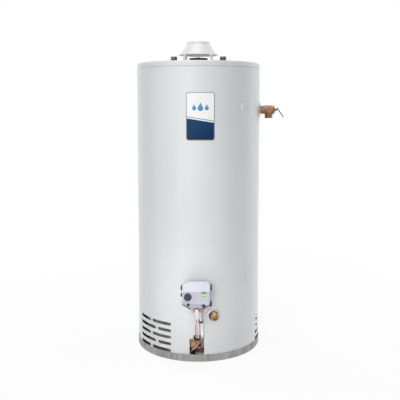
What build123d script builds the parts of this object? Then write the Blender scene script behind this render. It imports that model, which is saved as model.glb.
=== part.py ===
from build123d import *
import os
from math import cos, degrees, hypot, pi, radians, sin, sqrt

# Tank water heater with an atmospheric gas burner, in millimetres.
# The origin is the middle of the base on the floor, +Z is up and the front faces -Y.
# An azimuth is an angle in degrees from the front towards +X, and a reach is a distance in front of the axis.

os.makedirs("parts", exist_ok=True)

# Clearances
fit_gap = 0.3
running_gap = 0.05
hole_gap = 1.0

# Base pan, jacket and top pan
jacket_radius = 254.0
jacket_wall = 1.0
jacket_top = 1149.0
pan_wall = 1.5
pan_height = 29.0
pan_clearance = 0.9
cap_step = 0.6
cap_height = 22.0
cap_wall = 1.2
cap_edge_radius = 7.0
cap_flange_depth = 14.0
cap_reveal = 1.6
seam_width = 14.0
seam_height = 1.2

# Air slots: rows of two, split by a bridge that alternates, in groups that start at an azimuth and run one way
slot_height = 12.5
slot_lowest = 35.3
slot_pitch = 26.6
slot_bridge = 2.9
slot_group_span = 41.6
slot_near_spans = (21.4, 14.3)
slot_azimuths = (-23.7, 68.7, 158.0)
slot_ways = (-1, 1, 1)
slot_row_counts = (5, 4, 4)

# Burner access: a notch in the jacket, and the panel behind it with the burner opening
opening_width = 57.0
notch_width = 132.0
notch_drop = 38.0
panel_bottom = 90.0
panel_lap = 8.0
panel_wall = 1.2

# Side plugs and front plate
plug_flange_radius = 24.5
plug_barb_radius = 20.0
plug_barb_length = 9.0
plug_face = 2.6
upper_plug_azimuth = 47.2
upper_plug_height = 993.0
lower_plug_azimuth = 54.7
lower_plug_height = 316.0
plate_azimuth = 3.2
plate_width = 110.0
plate_height = 183.0
plate_bottom = 867.5
plate_corner = 11.0
plate_thick = 0.6

# Tank, flue and insulation
insulation = 32.0
tank_wall = 2.5
tank_edge = 1095.0
head_wall = 3.0
head_rise = 36.0
drain_rise = 34.0
bottom_rise = 40.0
chamber_mouth_width = 150.0
mouth_drop = 12.0
flue_radius = 38.0
flue_wall = 2.5
flue_stub = 23.5
baffle_width = 60.0
baffle_thick = 1.6
baffle_step = 55.0
baffle_swing = 9.0
baffle_bends = 15
dam_height = 7.0
foam_rim = 8.0

# Pipe threads and welded spuds
pipe_radius = 13.35
pipe_wall = 3.0
spud_radius = 20.0
spud_length = 26.0
spud_sink = 6.0
thread_depth = 17.0

# Water connections and anode on top
water_spacing = 203.2
nipple_stub = 31.0
nipple_chamfer = 1.2
nipple_thread = 20.0
nipple_thread_radius = 12.8
liner_wall = 1.6
dip_wall = 1.5
dip_end = 260.0
anode_back = 118.0
anode_radius = 10.5
anode_end = 380.0
anode_hex = 27.0
anode_hex_height = 14.0

# Draft hood
hood_lift = 36.0
hood_sheet = 1.0
collar_radius = 49.5
collar_height = 11.0
cone_radius = 74.0
cone_height = 42.0
hood_lip = 9.0
leg_turn = 45.0
leg_width = 13.0
leg_sheet = 1.2
leg_top_radius = 76.5
leg_foot_radius = 82.0
leg_foot = 13.0
rivet_radius = 1.6
rivet_head = 3.0
rivet_share = 0.6
head_taper = 18.0

# Sheet-metal screws
screw_radius = 1.9
screw_length = 8.0
screw_head_radius = 4.2
screw_hex_radius = 3.4
screw_head_height = 2.6
cap_screw_turn = 46.0

# Relief valve on the right side, along +X
relief_azimuth = 90.0
relief_height = 982.0
relief_flange = 5.0
relief_shoulder_radius = 17.0
relief_shoulder = 16.0
relief_body_radius = 18.5
relief_body_length = 34.0
relief_inlet_radius = 8.5
relief_chamber_radius = 14.0
relief_seat = 9.0
bonnet_length = 9.0
bonnet_nose_radius = 11.5
bonnet_wall = 3.0
outlet_radius = 16.25
outlet_bore = 12.0
outlet_drop = 34.0
outlet_offset = 17.5
outlet_thread = 16.0
outlet_way = 7.5
stem_radius = 3.0
stem_disc_radius = 11.5
stem_disc = 4.0
stem_lift = 3.7
spring_radius = 7.5
spring_wall = 1.8
probe_radius = 4.0
probe_length = 120.0
probe_vent = 1.5
pin_radius = 1.5
pin_overhang = 0.8
pin_out = 5.5
lever_width = 12.0
lever_thick = 3.0
lever_eye = 4.6
lever_elbow = (5.0, 7.0)
lever_tip = (29.5, -29.0)
ring_radius = 30.0
ring_face = 2.2

# Gas control on the front
control_height = 298.0
control_standoff = 10.0
casting_half = 36.0
casting_depth = 46.0
casting_low = 55.0
casting_high = 27.0
casting_corner = 6.0
housing_depth = 14.0
housing_margin = 2.6
cover_half = 50.75
cover_depth = 25.0
cover_wall = 2.0
cover_top = 40.0
cover_brow = 10.0
cover_sill = 37.0
cover_chin = 59.0
chin_setback = 18.0
top_corner = (9.0, 13.0)
chin_corner = (30.0, 21.0)
lug_out = 7.4
lug_depth = 20.0
lug_spans = ((-1, 11.0, 27.0), (-1, -14.0, -4.0), (1, 11.0, 31.0), (1, -51.0, -33.0))
board_half = 44.0
board_low = 34.0
board_high = 12.0
board_thick = 1.6
post_radius = 3.0
post_length = 6.0
post_place = (38.0, 17.0)
knob_place = (-31.2, -8.5)
knob_radius = 14.25
knob_depth = 13.0
knob_gap = 4.4
knob_grip = 4.0
knob_grip_width = 6.0
knob_taper = 4.0
knob_shaft_radius = 3.0
knob_shaft_length = 62.0
window_place = (29.0, 0.3)
window_width = 18.6
window_height = 17.6
button_place = 28.7
button_radius = 7.0
button_length = 12.0
button_proud = 5.0
button_edge = 1.2
button_share = 0.25
connector_place = 1.0
connector_width = 11.0
connector_height = 9.0
connector_depth = 8.0
connector_corner = 1.0
cover_screw_place = 40.0
cover_screw_down = 5.0
inlet_boss_radius = 16.0
inlet_boss_length = 9.0
inlet_radius = 10.3
inlet_depth = 16.0
inlet_down = 14.0
sensor_radius = 5.0
sensor_length = 130.0

# Burner, pilot and their tubes
outlet_reach_in = 16.0
boss_drop = 18.0
nut_height = 12.0
tube_socket = 6.0
manifold_place = 11.5
manifold_radius = 6.35
manifold_bore = 5.2
manifold_nut_flats = 18.0
manifold_boss_radius = 9.5
pilot_place = -7.2
pilot_radius = 3.175
pilot_bore = 2.2
pilot_nut_flats = 12.0
pilot_boss_radius = 6.5
tube_standoff = 14.0
tube_margin = 1.5
pilot_drop = 2.0
pilot_bend = 9.5
manifold_share = 0.43
pilot_share = 0.53
burner_axis = 99.0
burner_radius = 75.0
burner_height = 32.0
burner_wall = 1.4
burner_ports = 30
port_width = 4.0
venturi_radius = 14.0
venturi_length = 28.0
orifice_radius = 9.0
orifice_length = 16.0
orifice_gap = 0.8
jet_radius = 1.2
bracket_sheet = 1.5
bracket_width = 14.0
bracket_depth = 40.0
bracket_place = 26.0
bracket_setback = 8.0
tongue_place = -15.0
tongue_height = 62.0
flag_place = -19.0
flag_width = 16.0
flag_foot = 48.0
flag_height = 44.0
flag_round = 5.0
shield_margin = 19.5
shield_sheet = 1.0
shield_lift = 11.0
wall_half = 62.0
wall_top = 76.0
arch_place = -4.0
arch_width = 80.0
arch_height = 21.0
sight_place = 9.0
sight_height = 47.0
sight_hole = 7.0
sight_ring = 11.0
sight_thick = 3.0
pilot_head_radius = 6.5
pilot_head_height = 26.0
thermopile_radius = 4.5
thermopile_height = 44.0
lead_radius = 1.7
lead_entry = 94.5
lead_spread = 2.5
red_place = -4.0
white_place = 1.0
grommet_width = 21.0
grommet_height = 19.5
grommet_lip = 1.5
grommet_place = 2.0
clip_wall = 1.4
clip_length = 8.0
clip_share = 0.6

# Drain valve
drain_azimuth = 14.6
drain_height = 184.0
drain_end = 27.0
drain_hose_radius = 13.45
drain_hose_length = 19.0
drain_hex = 30.0
drain_hex_height = 6.0
drain_bore = 9.6
drain_bore_depth = 11.0
drain_stem_radius = 6.55
drain_thread_length = 9.0
drain_chamber_radius = 8.0
drain_chamber = 8.0
drain_way = 4.5
drain_stem_length = 17.0
drain_slot = 2.4
drain_flat = 4.9
washer_radius = 7.0
washer_thick = 3.0
drain_collar_radius = 29.0
drain_collar_hole = 19.0
drain_collar_wall = 1.6
drain_collar_face = 5.5
drain_collar_sleeve = 12.0

# Places worked out from the sizes above
jacket_inner = jacket_radius - jacket_wall
pan_inner = jacket_radius + pan_clearance
pan_radius = pan_inner + pan_wall
cap_radius = jacket_radius - cap_step
cap_top = jacket_top + cap_height
cap_underside = cap_top - cap_wall
cap_flange_radius = jacket_inner - fit_gap
cap_inner = cap_flange_radius - cap_wall
tank_radius = jacket_radius - insulation
tank_inner = tank_radius - tank_wall
head_radius = tank_inner - fit_gap
flue_hole = flue_radius + fit_gap
flue_top = cap_top + flue_stub
water_radius = water_spacing / 2
nipple_top = cap_top + nipple_stub
pipe_bore = pipe_radius - pipe_wall
spud_bore = pipe_radius + fit_gap
port_radius = spud_radius + hole_gap
panel_radius = jacket_inner - fit_gap
bottom_edge = drain_height - drain_rise
chamber_mouth_top = bottom_edge - mouth_drop
notch_top = drain_height - notch_drop
panel_foot = pan_wall + fit_gap
panel_top = notch_top + panel_lap
dam_bottom = panel_top + hole_gap

plug_places = ((upper_plug_azimuth, upper_plug_height), (lower_plug_azimuth, lower_plug_height))


def dome_height(radius, edge, rise):
    # Height of a dome that springs from the tank wall, at a distance from the axis
    sphere = (head_radius**2 + rise**2) / (2 * rise)
    return edge + rise - sphere + sqrt(sphere**2 - radius**2)


def radial_plane(azimuth, radius, height):
    # Plane square to a radius of the heater, with its X to the right and its Y up as seen from outside
    turn = radians(azimuth)
    outward = (sin(turn), -cos(turn), 0)
    place = (radius * outward[0], radius * outward[1], height)
    return Plane(origin=place, x_dir=(cos(turn), sin(turn), 0), z_dir=outward)


def upright_plane(azimuth):
    # Upright plane through the axis, with its X outward along an azimuth and its Y up
    turn = radians(azimuth)
    return Plane(origin=(0, 0, 0), x_dir=(sin(turn), -cos(turn), 0), z_dir=(-cos(turn), -sin(turn), 0))


def finish(piece, name):
    # Label a finished piece and write it
    piece.part.label = name
    export_step(piece.part, f"parts/{name}.step")


def dished_head(edge, rise):
    # Turned head of the tank between its wall and the flue
    radii = (head_radius, (head_radius + flue_hole) / 2, flue_hole)
    upper = [(r, dome_height(r, edge, rise)) for r in radii]
    lower = [(r, z - head_wall) for r, z in upper]
    with BuildSketch(Plane.XZ) as section:
        with BuildLine():
            ThreePointArc(*upper)
            Line(upper[2], lower[2])
            ThreePointArc(*reversed(lower))
            Line(lower[0], upper[0])
        make_face()
    revolve(section.sketch, axis=Axis.Z)


# Base pan
with BuildPart() as base_pan:
    with BuildSketch():
        Circle(pan_radius)
    extrude(amount=pan_height)
    with BuildSketch(Plane.XY.offset(pan_wall)):
        Circle(pan_inner)
    extrude(amount=pan_height, mode=Mode.SUBTRACT)
finish(base_pan, "base_pan")

# Cutter for every air slot: arcs of a ring with round ends
slot_end = slot_height / 2
slot_end_angle = degrees(slot_end / jacket_radius)
with BuildPart() as slot_cutter:
    slot_ends = []
    for parity, split in enumerate(slot_near_spans):
        for first, last in ((0, split), (split + slot_bridge, slot_group_span)):
            for near, way, rows in zip(slot_azimuths, slot_ways, slot_row_counts):
                ends = (near + way * (first + slot_end_angle), near + way * (last - slot_end_angle))
                heights = [slot_lowest + row * slot_pitch for row in range(parity, rows, 2)]
                slot_ends += [(end, height) for end in ends for height in heights]
                with BuildSketch(upright_plane(min(ends))):
                    with Locations(*[(jacket_radius, height) for height in heights]):
                        Rectangle(4 * jacket_wall, slot_height)
            revolve(axis=Axis.Z, revolution_arc=last - first - 2 * slot_end_angle)
    for end, height in slot_ends:
        with BuildSketch(radial_plane(end, jacket_inner - jacket_wall, height)):
            Circle(slot_end)
    extrude(amount=3 * jacket_wall)

# Ports in the jacket: azimuth, height and radius
jacket_ports = [(turn, height, plug_barb_radius + fit_gap) for turn, height in plug_places]
jacket_ports.append((0, control_height, port_radius))
jacket_ports.append((relief_azimuth, relief_height, port_radius))
jacket_ports.append((drain_azimuth, drain_height, drain_collar_hole + drain_collar_wall + fit_gap))

# Places of the screws that hold sheet metal: planes with their Z out of the sheet
cap_screw_height = jacket_top + cap_height / 2
cap_screw_planes = [radial_plane(cap_screw_turn + 90 * i, cap_radius, cap_screw_height) for i in range(4)]
panel_screw_turn = degrees(notch_width / 3 / jacket_radius)
panel_screw_height = notch_top + panel_lap / 2
panel_screw_turns = (-panel_screw_turn, panel_screw_turn)
panel_screw_planes = [radial_plane(turn, jacket_radius, panel_screw_height) for turn in panel_screw_turns]
foot_screw_radius = leg_foot_radius + leg_foot - screw_head_radius
foot_screw_planes = []
for i in range(4):
    turn = radians(leg_turn + 90 * i)
    place = (foot_screw_radius * sin(turn), -foot_screw_radius * cos(turn), cap_top + leg_sheet)
    foot_screw_planes.append(Plane(origin=place, x_dir=(cos(turn), sin(turn), 0), z_dir=(0, 0, 1)))

# Jacket
with BuildPart() as jacket:
    with BuildSketch(Plane.XY.offset(pan_wall)):
        Circle(jacket_radius)
    extrude(amount=jacket_top - pan_wall)
    with BuildSketch(Plane.XY.offset(pan_height + fit_gap)):
        with Locations((0, jacket_radius)):
            Rectangle(seam_width, 2 * seam_height)
    extrude(amount=jacket_top - pan_height - fit_gap)
    with BuildSketch(Plane.XY.offset(pan_wall)):
        Circle(jacket_inner)
    extrude(amount=jacket_top - pan_wall, mode=Mode.SUBTRACT)
    add(slot_cutter.part, mode=Mode.SUBTRACT)
    with BuildSketch(Plane.XZ.offset(jacket_radius / 2)):
        with Locations((0, pan_wall)):
            Rectangle(notch_width, 2 * (notch_top - pan_wall))
    extrude(amount=jacket_radius, mode=Mode.SUBTRACT)
    for turn, height, radius in jacket_ports:
        with BuildSketch(radial_plane(turn, jacket_radius / 2, height)):
            Circle(radius)
        extrude(amount=jacket_radius, mode=Mode.SUBTRACT)
    for plane in panel_screw_planes:
        with BuildSketch(plane):
            Circle(screw_radius + fit_gap)
        extrude(amount=-screw_length, mode=Mode.SUBTRACT)
finish(jacket, "jacket")

# Top pan: a disc with a rounded rim and a flange that drops inside the jacket
with BuildPart() as jacket_top_pan:
    with BuildSketch(Plane.XZ):
        with BuildLine():
            Line((flue_radius + hole_gap, cap_top), (cap_radius - cap_edge_radius, cap_top))
            RadiusArc(
                (cap_radius - cap_edge_radius, cap_top),
                (cap_radius, cap_top - cap_edge_radius),
                cap_edge_radius,
            )
            Polyline(
                (cap_radius, cap_top - cap_edge_radius),
                (cap_radius, jacket_top + cap_reveal),
                (cap_flange_radius, jacket_top + cap_reveal),
                (cap_flange_radius, jacket_top - cap_flange_depth),
                (cap_inner, jacket_top - cap_flange_depth),
                (cap_inner, cap_top - cap_edge_radius),
                (cap_radius - cap_edge_radius, cap_underside),
                (flue_radius + hole_gap, cap_underside),
                (flue_radius + hole_gap, cap_top),
            )
        make_face()
    revolve(axis=Axis.Z)
    with BuildSketch(Plane.XY.offset(cap_underside)):
        with Locations((-water_radius, 0), (water_radius, 0)):
            Circle(pipe_radius + hole_gap)
        with Locations((0, anode_back)):
            Circle(port_radius)
    extrude(amount=cap_wall, mode=Mode.SUBTRACT)
    for plane in cap_screw_planes + foot_screw_planes:
        with BuildSketch(plane):
            Circle(screw_radius + fit_gap)
        extrude(amount=-screw_length, mode=Mode.SUBTRACT)
finish(jacket_top_pan, "jacket_top")

# Sheet-metal screws: hexagon heads with a washer face, round the rim, on the panel and on the hood's feet
with BuildPart() as sheet_screws:
    for plane in cap_screw_planes + panel_screw_planes + foot_screw_planes:
        with BuildSketch(plane):
            RegularPolygon(screw_hex_radius, 6)
        extrude(amount=screw_head_height)
        with BuildSketch(plane):
            Circle(screw_head_radius)
        extrude(amount=screw_head_height / 3)
        with BuildSketch(plane):
            Circle(screw_radius)
        extrude(amount=-screw_length)
finish(sheet_screws, "sheet_screws")

# Access panel behind the notch: a curved plate with the burner opening and a bay for the grommet and the tube
bay_left = grommet_place - grommet_width / 2
bay_top = burner_axis + manifold_radius + hole_gap
with BuildPart() as access_panel:
    with BuildSketch(Plane.XY.offset(panel_foot)):
        Circle(panel_radius)
        Circle(panel_radius - panel_wall, mode=Mode.SUBTRACT)
    extrude(amount=panel_top - panel_foot)
    with BuildSketch(Plane.XZ.offset(tank_radius)):
        Rectangle(notch_width + 2 * panel_lap, 2 * panel_top)
    extrude(amount=jacket_radius - tank_radius, mode=Mode.INTERSECT)
    with BuildSketch(Plane.XZ.offset(tank_radius)):
        Rectangle(opening_width, 2 * panel_bottom)
        with Locations((bay_left, bay_top)):
            Rectangle(opening_width / 2 - bay_left, bay_top, align=(Align.MIN, Align.MAX))
    extrude(amount=jacket_radius - tank_radius, mode=Mode.SUBTRACT)
    for plane in panel_screw_planes:
        with BuildSketch(plane):
            Circle(screw_radius + fit_gap)
        extrude(amount=-screw_length, mode=Mode.SUBTRACT)
finish(access_panel, "access_panel")

# Side plugs: a round cap curved to the jacket, with a barb through it
with BuildPart() as jacket_plugs:
    for turn, height in plug_places:
        with BuildSketch(radial_plane(turn, jacket_radius - plug_face, height)):
            Circle(plug_flange_radius)
        extrude(amount=2 * plug_face)
    with BuildSketch(Plane.XY.offset(0)):
        Circle(jacket_radius + fit_gap)
    extrude(amount=cap_top, mode=Mode.SUBTRACT)
    for turn, height in plug_places:
        with BuildSketch(radial_plane(turn, jacket_radius - plug_barb_length, height)):
            Circle(plug_barb_radius)
            Circle(plug_barb_radius - plug_face, mode=Mode.SUBTRACT)
        extrude(amount=plug_barb_length + plug_face / 2)
finish(jacket_plugs, "jacket_plugs")

# Front plate, curved to the jacket
with BuildPart() as name_plate:
    with BuildSketch(Plane.XY.offset(plate_bottom)):
        Circle(jacket_radius + fit_gap / 3 + plate_thick)
        Circle(jacket_radius + fit_gap / 3, mode=Mode.SUBTRACT)
    extrude(amount=plate_height)
    with BuildSketch(radial_plane(plate_azimuth, tank_radius, plate_bottom + plate_height / 2)):
        RectangleRounded(plate_width, plate_height, plate_corner)
    extrude(amount=jacket_radius, mode=Mode.INTERSECT)
finish(name_plate, "name_plate")

# Spuds: vertical ones on the top head and radial ones in the shell
top_spuds = ((-water_radius, 0.0), (water_radius, 0.0), (0.0, anode_back))
side_spuds = ((0, control_height), (relief_azimuth, relief_height), (drain_azimuth, drain_height))
side_spud_end = tank_inner - spud_sink + spud_length


def spud_foot(place):
    # Lower end of a top spud, sunk a little below the head
    return dome_height(hypot(*place), tank_edge, head_rise) - spud_sink - head_wall


water_spud_top = spud_foot(top_spuds[0]) + spud_length
anode_spud_top = spud_foot(top_spuds[2]) + spud_length

with BuildPart() as tank_spuds:
    for place in top_spuds:
        with BuildSketch(Plane.XY.offset(spud_foot(place))):
            with Locations(place):
                Circle(spud_radius)
                Circle(spud_bore, mode=Mode.SUBTRACT)
        extrude(amount=spud_length)
    for turn, height in side_spuds:
        with BuildSketch(radial_plane(turn, tank_inner - spud_sink, height)):
            Circle(spud_radius)
            Circle(spud_bore, mode=Mode.SUBTRACT)
        extrude(amount=spud_length)
finish(tank_spuds, "tank_spuds")

# Tank shell, which goes on down as the wall of the burner chamber
with BuildPart() as tank_shell:
    with BuildSketch(Plane.XY.offset(pan_wall)):
        Circle(tank_radius)
        Circle(tank_inner, mode=Mode.SUBTRACT)
    extrude(amount=tank_edge - pan_wall)
    with BuildSketch(Plane.XZ.offset(tank_radius / 2)):
        with Locations((0, pan_wall)):
            Rectangle(chamber_mouth_width, 2 * (chamber_mouth_top - pan_wall))
    extrude(amount=tank_radius, mode=Mode.SUBTRACT)
    for turn, height in side_spuds:
        with BuildSketch(radial_plane(turn, tank_radius / 2, height)):
            Circle(spud_radius + fit_gap)
        extrude(amount=tank_radius, mode=Mode.SUBTRACT)
finish(tank_shell, "tank_shell")

# Top head
with BuildPart() as top_head:
    dished_head(tank_edge, head_rise)
    with BuildSketch(Plane.XY.offset(tank_edge - head_rise)):
        with Locations(*top_spuds):
            Circle(spud_radius + fit_gap)
    extrude(amount=3 * head_rise, mode=Mode.SUBTRACT)
finish(top_head, "top_head")

# Bottom head, dished upwards over the burner
with BuildPart() as bottom_head:
    dished_head(bottom_edge, bottom_rise)
finish(bottom_head, "bottom_head")

# Flue
flue_bottom = dome_height(flue_hole, bottom_edge, bottom_rise) - head_wall - spud_sink
flue_bore = flue_radius - flue_wall
with BuildPart() as flue_tube:
    with BuildSketch(Plane.XY.offset(flue_bottom)):
        Circle(flue_radius)
        Circle(flue_bore, mode=Mode.SUBTRACT)
    extrude(amount=flue_top - flue_bottom)
finish(flue_tube, "flue_tube")

# Flue baffle: a bent strip that hangs by a crossbar on the flue's top edge
baffle_line = [(0, flue_top)]
for bend in range(1, baffle_bends + 1):
    baffle_line.append((baffle_swing * (1 if bend % 2 else -1), flue_top - bend * baffle_step))
with BuildPart() as flue_baffle:
    with BuildSketch(Plane.XZ):
        with BuildLine():
            Polyline(*baffle_line)
        trace(line_width=baffle_thick)
    extrude(amount=baffle_width / 2, both=True)
    with BuildSketch(Plane.XY.offset(flue_top)):
        Rectangle(2 * spud_sink, 2 * flue_radius)
    extrude(amount=baffle_thick)
finish(flue_baffle, "flue_baffle")

# Ring of mineral wool that closes the foam space at the bottom
with BuildPart() as foam_dam:
    with BuildSketch(Plane.XY.offset(dam_bottom)):
        Circle(jacket_inner - fit_gap)
        Circle(tank_radius + fit_gap, mode=Mode.SUBTRACT)
    extrude(amount=dam_height)
finish(foam_dam, "foam_dam")

# Foam round and over the tank
foam_bottom = dam_bottom + dam_height
foam_flue = flue_radius + hole_gap
with BuildPart() as foam_insulation:
    with BuildSketch(Plane.XZ):
        crown_radii = (head_radius, head_radius / 2, foam_flue)
        crown = [(r, dome_height(r, tank_edge, head_rise) + fit_gap) for r in crown_radii]
        with BuildLine():
            Polyline(
                (foam_flue, crown[2][1]),
                (foam_flue, cap_underside - fit_gap),
                (cap_inner - foam_rim, cap_underside - fit_gap),
                (cap_inner - foam_rim, jacket_top - cap_flange_depth - fit_gap),
                (jacket_inner - hole_gap, jacket_top - cap_flange_depth - fit_gap),
                (jacket_inner - hole_gap, foam_bottom),
                (tank_radius + fit_gap, foam_bottom),
                (tank_radius + fit_gap, tank_edge + fit_gap),
                (head_radius, tank_edge + fit_gap),
            )
            ThreePointArc(*crown)
        make_face()
    revolve(axis=Axis.Z)
    with BuildSketch(Plane.XY.offset(tank_edge)):
        with Locations(*top_spuds):
            Circle(port_radius)
    extrude(amount=cap_top - tank_edge, mode=Mode.SUBTRACT)
    for turn, height in side_spuds:
        with BuildSketch(radial_plane(turn, tank_inner - spud_sink, height)):
            Circle(port_radius)
        extrude(amount=jacket_radius - tank_inner + spud_sink, mode=Mode.SUBTRACT)
    for turn, height in plug_places:
        with BuildSketch(radial_plane(turn, jacket_radius - plug_barb_length - hole_gap, height)):
            Circle(plug_barb_radius + hole_gap)
        extrude(amount=plug_barb_length + hole_gap, mode=Mode.SUBTRACT)
    sleeve_start = jacket_radius - drain_collar_sleeve - hole_gap
    with BuildSketch(radial_plane(drain_azimuth, sleeve_start, drain_height)):
        Circle(drain_collar_hole + drain_collar_wall + hole_gap)
    extrude(amount=drain_collar_sleeve + hole_gap, mode=Mode.SUBTRACT)
    for plane in foot_screw_planes:
        with BuildSketch(plane):
            Circle(screw_radius + hole_gap)
        extrude(amount=-screw_length - hole_gap, mode=Mode.SUBTRACT)
finish(foam_insulation, "foam_insulation")

# Water nipples and their plastic liners
nipple_foot = water_spud_top - thread_depth
for name, side in (("cold_nipple", -1), ("hot_nipple", 1)):
    with BuildPart() as nipple:
        with BuildSketch(Plane.XY.offset(nipple_foot)):
            with Locations((side * water_radius, 0)):
                Circle(pipe_radius)
                Circle(pipe_bore, mode=Mode.SUBTRACT)
        extrude(amount=nipple_top - nipple_thread - nipple_foot)
        with BuildSketch(Plane.XY.offset(nipple_top - nipple_thread)):
            with Locations((side * water_radius, 0)):
                Circle(nipple_thread_radius)
                Circle(pipe_bore, mode=Mode.SUBTRACT)
        extrude(amount=nipple_thread)
        top_edges = nipple.edges().filter_by(GeomType.CIRCLE).group_by(Axis.Z)[-1]
        chamfer(top_edges.sort_by(SortBy.RADIUS)[-1:], nipple_chamfer)
    finish(nipple, name)

liner_radius = pipe_bore - fit_gap
liner_bore = liner_radius - liner_wall
with BuildPart() as nipple_liners:
    with BuildSketch(Plane.XY.offset(nipple_foot)):
        with Locations((-water_radius, 0), (water_radius, 0)):
            Circle(liner_radius)
            Circle(liner_bore, mode=Mode.SUBTRACT)
    extrude(amount=nipple_top - nipple_foot - hole_gap)
finish(nipple_liners, "nipple_liners")

# Dip tube, held in the cold liner
dip_radius = liner_bore - fit_gap
with BuildPart() as dip_tube:
    with BuildSketch(Plane.XY.offset(dip_end)):
        with Locations((-water_radius, 0)):
            Circle(dip_radius)
            Circle(dip_radius - dip_wall, mode=Mode.SUBTRACT)
    extrude(amount=nipple_foot + thread_depth - dip_end)
finish(dip_tube, "dip_tube")

# Anode: a hexagon plug screwed into its spud, and the rod below it
anode_plug_foot = anode_spud_top - thread_depth
with BuildPart() as anode_cap:
    with BuildSketch(Plane.XY.offset(anode_plug_foot)):
        with Locations((0, anode_back)):
            Circle(pipe_radius)
    extrude(amount=thread_depth)
    with BuildSketch(Plane.XY.offset(anode_spud_top)):
        with Locations((0, anode_back)):
            RegularPolygon(anode_hex / 2, 6, major_radius=False)
    extrude(amount=anode_hex_height)
finish(anode_cap, "anode_cap")

with BuildPart() as anode_rod:
    with BuildSketch(Plane.XY.offset(anode_end)):
        with Locations((0, anode_back)):
            Circle(anode_radius)
    extrude(amount=anode_plug_foot - anode_end)
finish(anode_rod, "anode_rod")

# Draft hood: collar, cone and flat lip
hood_foot = cap_top + hood_lift
cone_top = hood_foot + cone_height
hood_outline = [
    (cone_radius + hood_lip, hood_foot),
    (cone_radius + hood_lip, hood_foot + hood_sheet),
    (cone_radius, hood_foot + hood_sheet),
    (collar_radius, cone_top),
    (collar_radius, cone_top + collar_height),
    (collar_radius - hood_sheet, cone_top + collar_height),
    (collar_radius - hood_sheet, cone_top - hood_sheet / 2),
    (cone_radius - hood_sheet, hood_foot),
]
rivet_place = cone_radius + hood_lip * rivet_share
rivet_planes = []
for i in range(4):
    turn = radians(leg_turn + 90 * i)
    place = (rivet_place * sin(turn), -rivet_place * cos(turn), hood_foot + hood_sheet)
    rivet_planes.append(Plane(origin=place, x_dir=(cos(turn), sin(turn), 0), z_dir=(0, 0, 1)))

with BuildPart() as draft_hood:
    with BuildSketch(Plane.XZ):
        Polygon(*hood_outline, align=None)
    revolve(axis=Axis.Z)
    for plane in rivet_planes:
        with BuildSketch(plane):
            Circle(rivet_radius + fit_gap)
        extrude(amount=-3 * hood_sheet, mode=Mode.SUBTRACT)
finish(draft_hood, "draft_hood")

# Four strip legs, each with a tab under the lip and a foot on the top pan
leg_line = (
    (cone_radius + hood_lip - leg_sheet, hood_foot - leg_sheet / 2),
    (leg_top_radius - leg_sheet, hood_foot - leg_sheet / 2),
    (leg_foot_radius, cap_top + leg_sheet / 2),
    (leg_foot_radius + leg_foot, cap_top + leg_sheet / 2),
)
with BuildPart() as hood_legs:
    for i in range(4):
        with BuildSketch(upright_plane(leg_turn + 90 * i)):
            with BuildLine():
                Polyline(*leg_line)
            trace(line_width=leg_sheet)
        extrude(amount=leg_width / 2, both=True)
    for plane in rivet_planes:
        with BuildSketch(plane):
            Circle(rivet_radius + fit_gap)
        extrude(amount=-hood_sheet - 2 * leg_sheet, mode=Mode.SUBTRACT)
    for plane in foot_screw_planes:
        with BuildSketch(plane):
            Circle(screw_radius + fit_gap)
        extrude(amount=-2 * leg_sheet, mode=Mode.SUBTRACT)
finish(hood_legs, "hood_legs")

# Rivets through the lip and the legs
with BuildPart() as hood_rivets:
    for plane in rivet_planes:
        with BuildSketch(plane):
            Circle(rivet_head)
        extrude(amount=rivet_radius, taper=head_taper)
        with BuildSketch(plane):
            Circle(rivet_radius)
        extrude(amount=-hood_sheet - leg_sheet)
        with BuildSketch(plane.offset(-hood_sheet - leg_sheet)):
            Circle(rivet_head)
        extrude(amount=-rivet_radius / 2)
finish(hood_rivets, "hood_rivets")

# Relief valve: places along +X
relief_start = side_spud_end - thread_depth
relief_face = jacket_radius + relief_flange
relief_mid = relief_face + relief_shoulder
relief_end = relief_mid + relief_body_length
relief_seat_x = relief_mid + relief_seat
bonnet_end = relief_end + bonnet_length
outlet_x = relief_mid + outlet_offset
pin_x = bonnet_end + pin_out
relief_axis = Axis((0, 0, relief_height), (1, 0, 0))


def relief_turned(points):
    # Turned outline of points along X and out from the valve's axis
    with BuildSketch(Plane.XZ) as section:
        Polygon(*[(x, relief_height + r) for x, r in points], align=None)
    revolve(section.sketch, axis=relief_axis)


with BuildPart() as relief_body:
    relief_turned(
        (
            (relief_start, 0),
            (relief_start, pipe_radius),
            (relief_face, pipe_radius),
            (relief_face, relief_shoulder_radius),
            (relief_mid, relief_shoulder_radius),
            (relief_mid, relief_body_radius),
            (relief_end, relief_body_radius),
            (relief_end, 0),
        )
    )
    with BuildSketch(Plane.XY.offset(relief_height - outlet_drop)):
        with Locations((outlet_x, 0)):
            Circle(outlet_radius)
    extrude(amount=outlet_drop - outlet_way)
    with BuildSketch(Plane.YZ.offset(relief_start)):
        with Locations((0, relief_height)):
            Circle(relief_inlet_radius)
    extrude(amount=relief_end - relief_start, mode=Mode.SUBTRACT)
    with BuildSketch(Plane.YZ.offset(relief_seat_x)):
        with Locations((0, relief_height)):
            Circle(relief_chamber_radius)
    extrude(amount=relief_end - relief_seat_x, mode=Mode.SUBTRACT)
    with BuildSketch(Plane.XY.offset(relief_height - outlet_drop)):
        with Locations((outlet_x, 0)):
            Circle(outlet_way)
    extrude(amount=outlet_drop, mode=Mode.SUBTRACT)
    with BuildSketch(Plane.XY.offset(relief_height - outlet_drop)):
        with Locations((outlet_x, 0)):
            Circle(outlet_bore)
    extrude(amount=outlet_thread, mode=Mode.SUBTRACT)
finish(relief_body, "relief_body")

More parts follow.
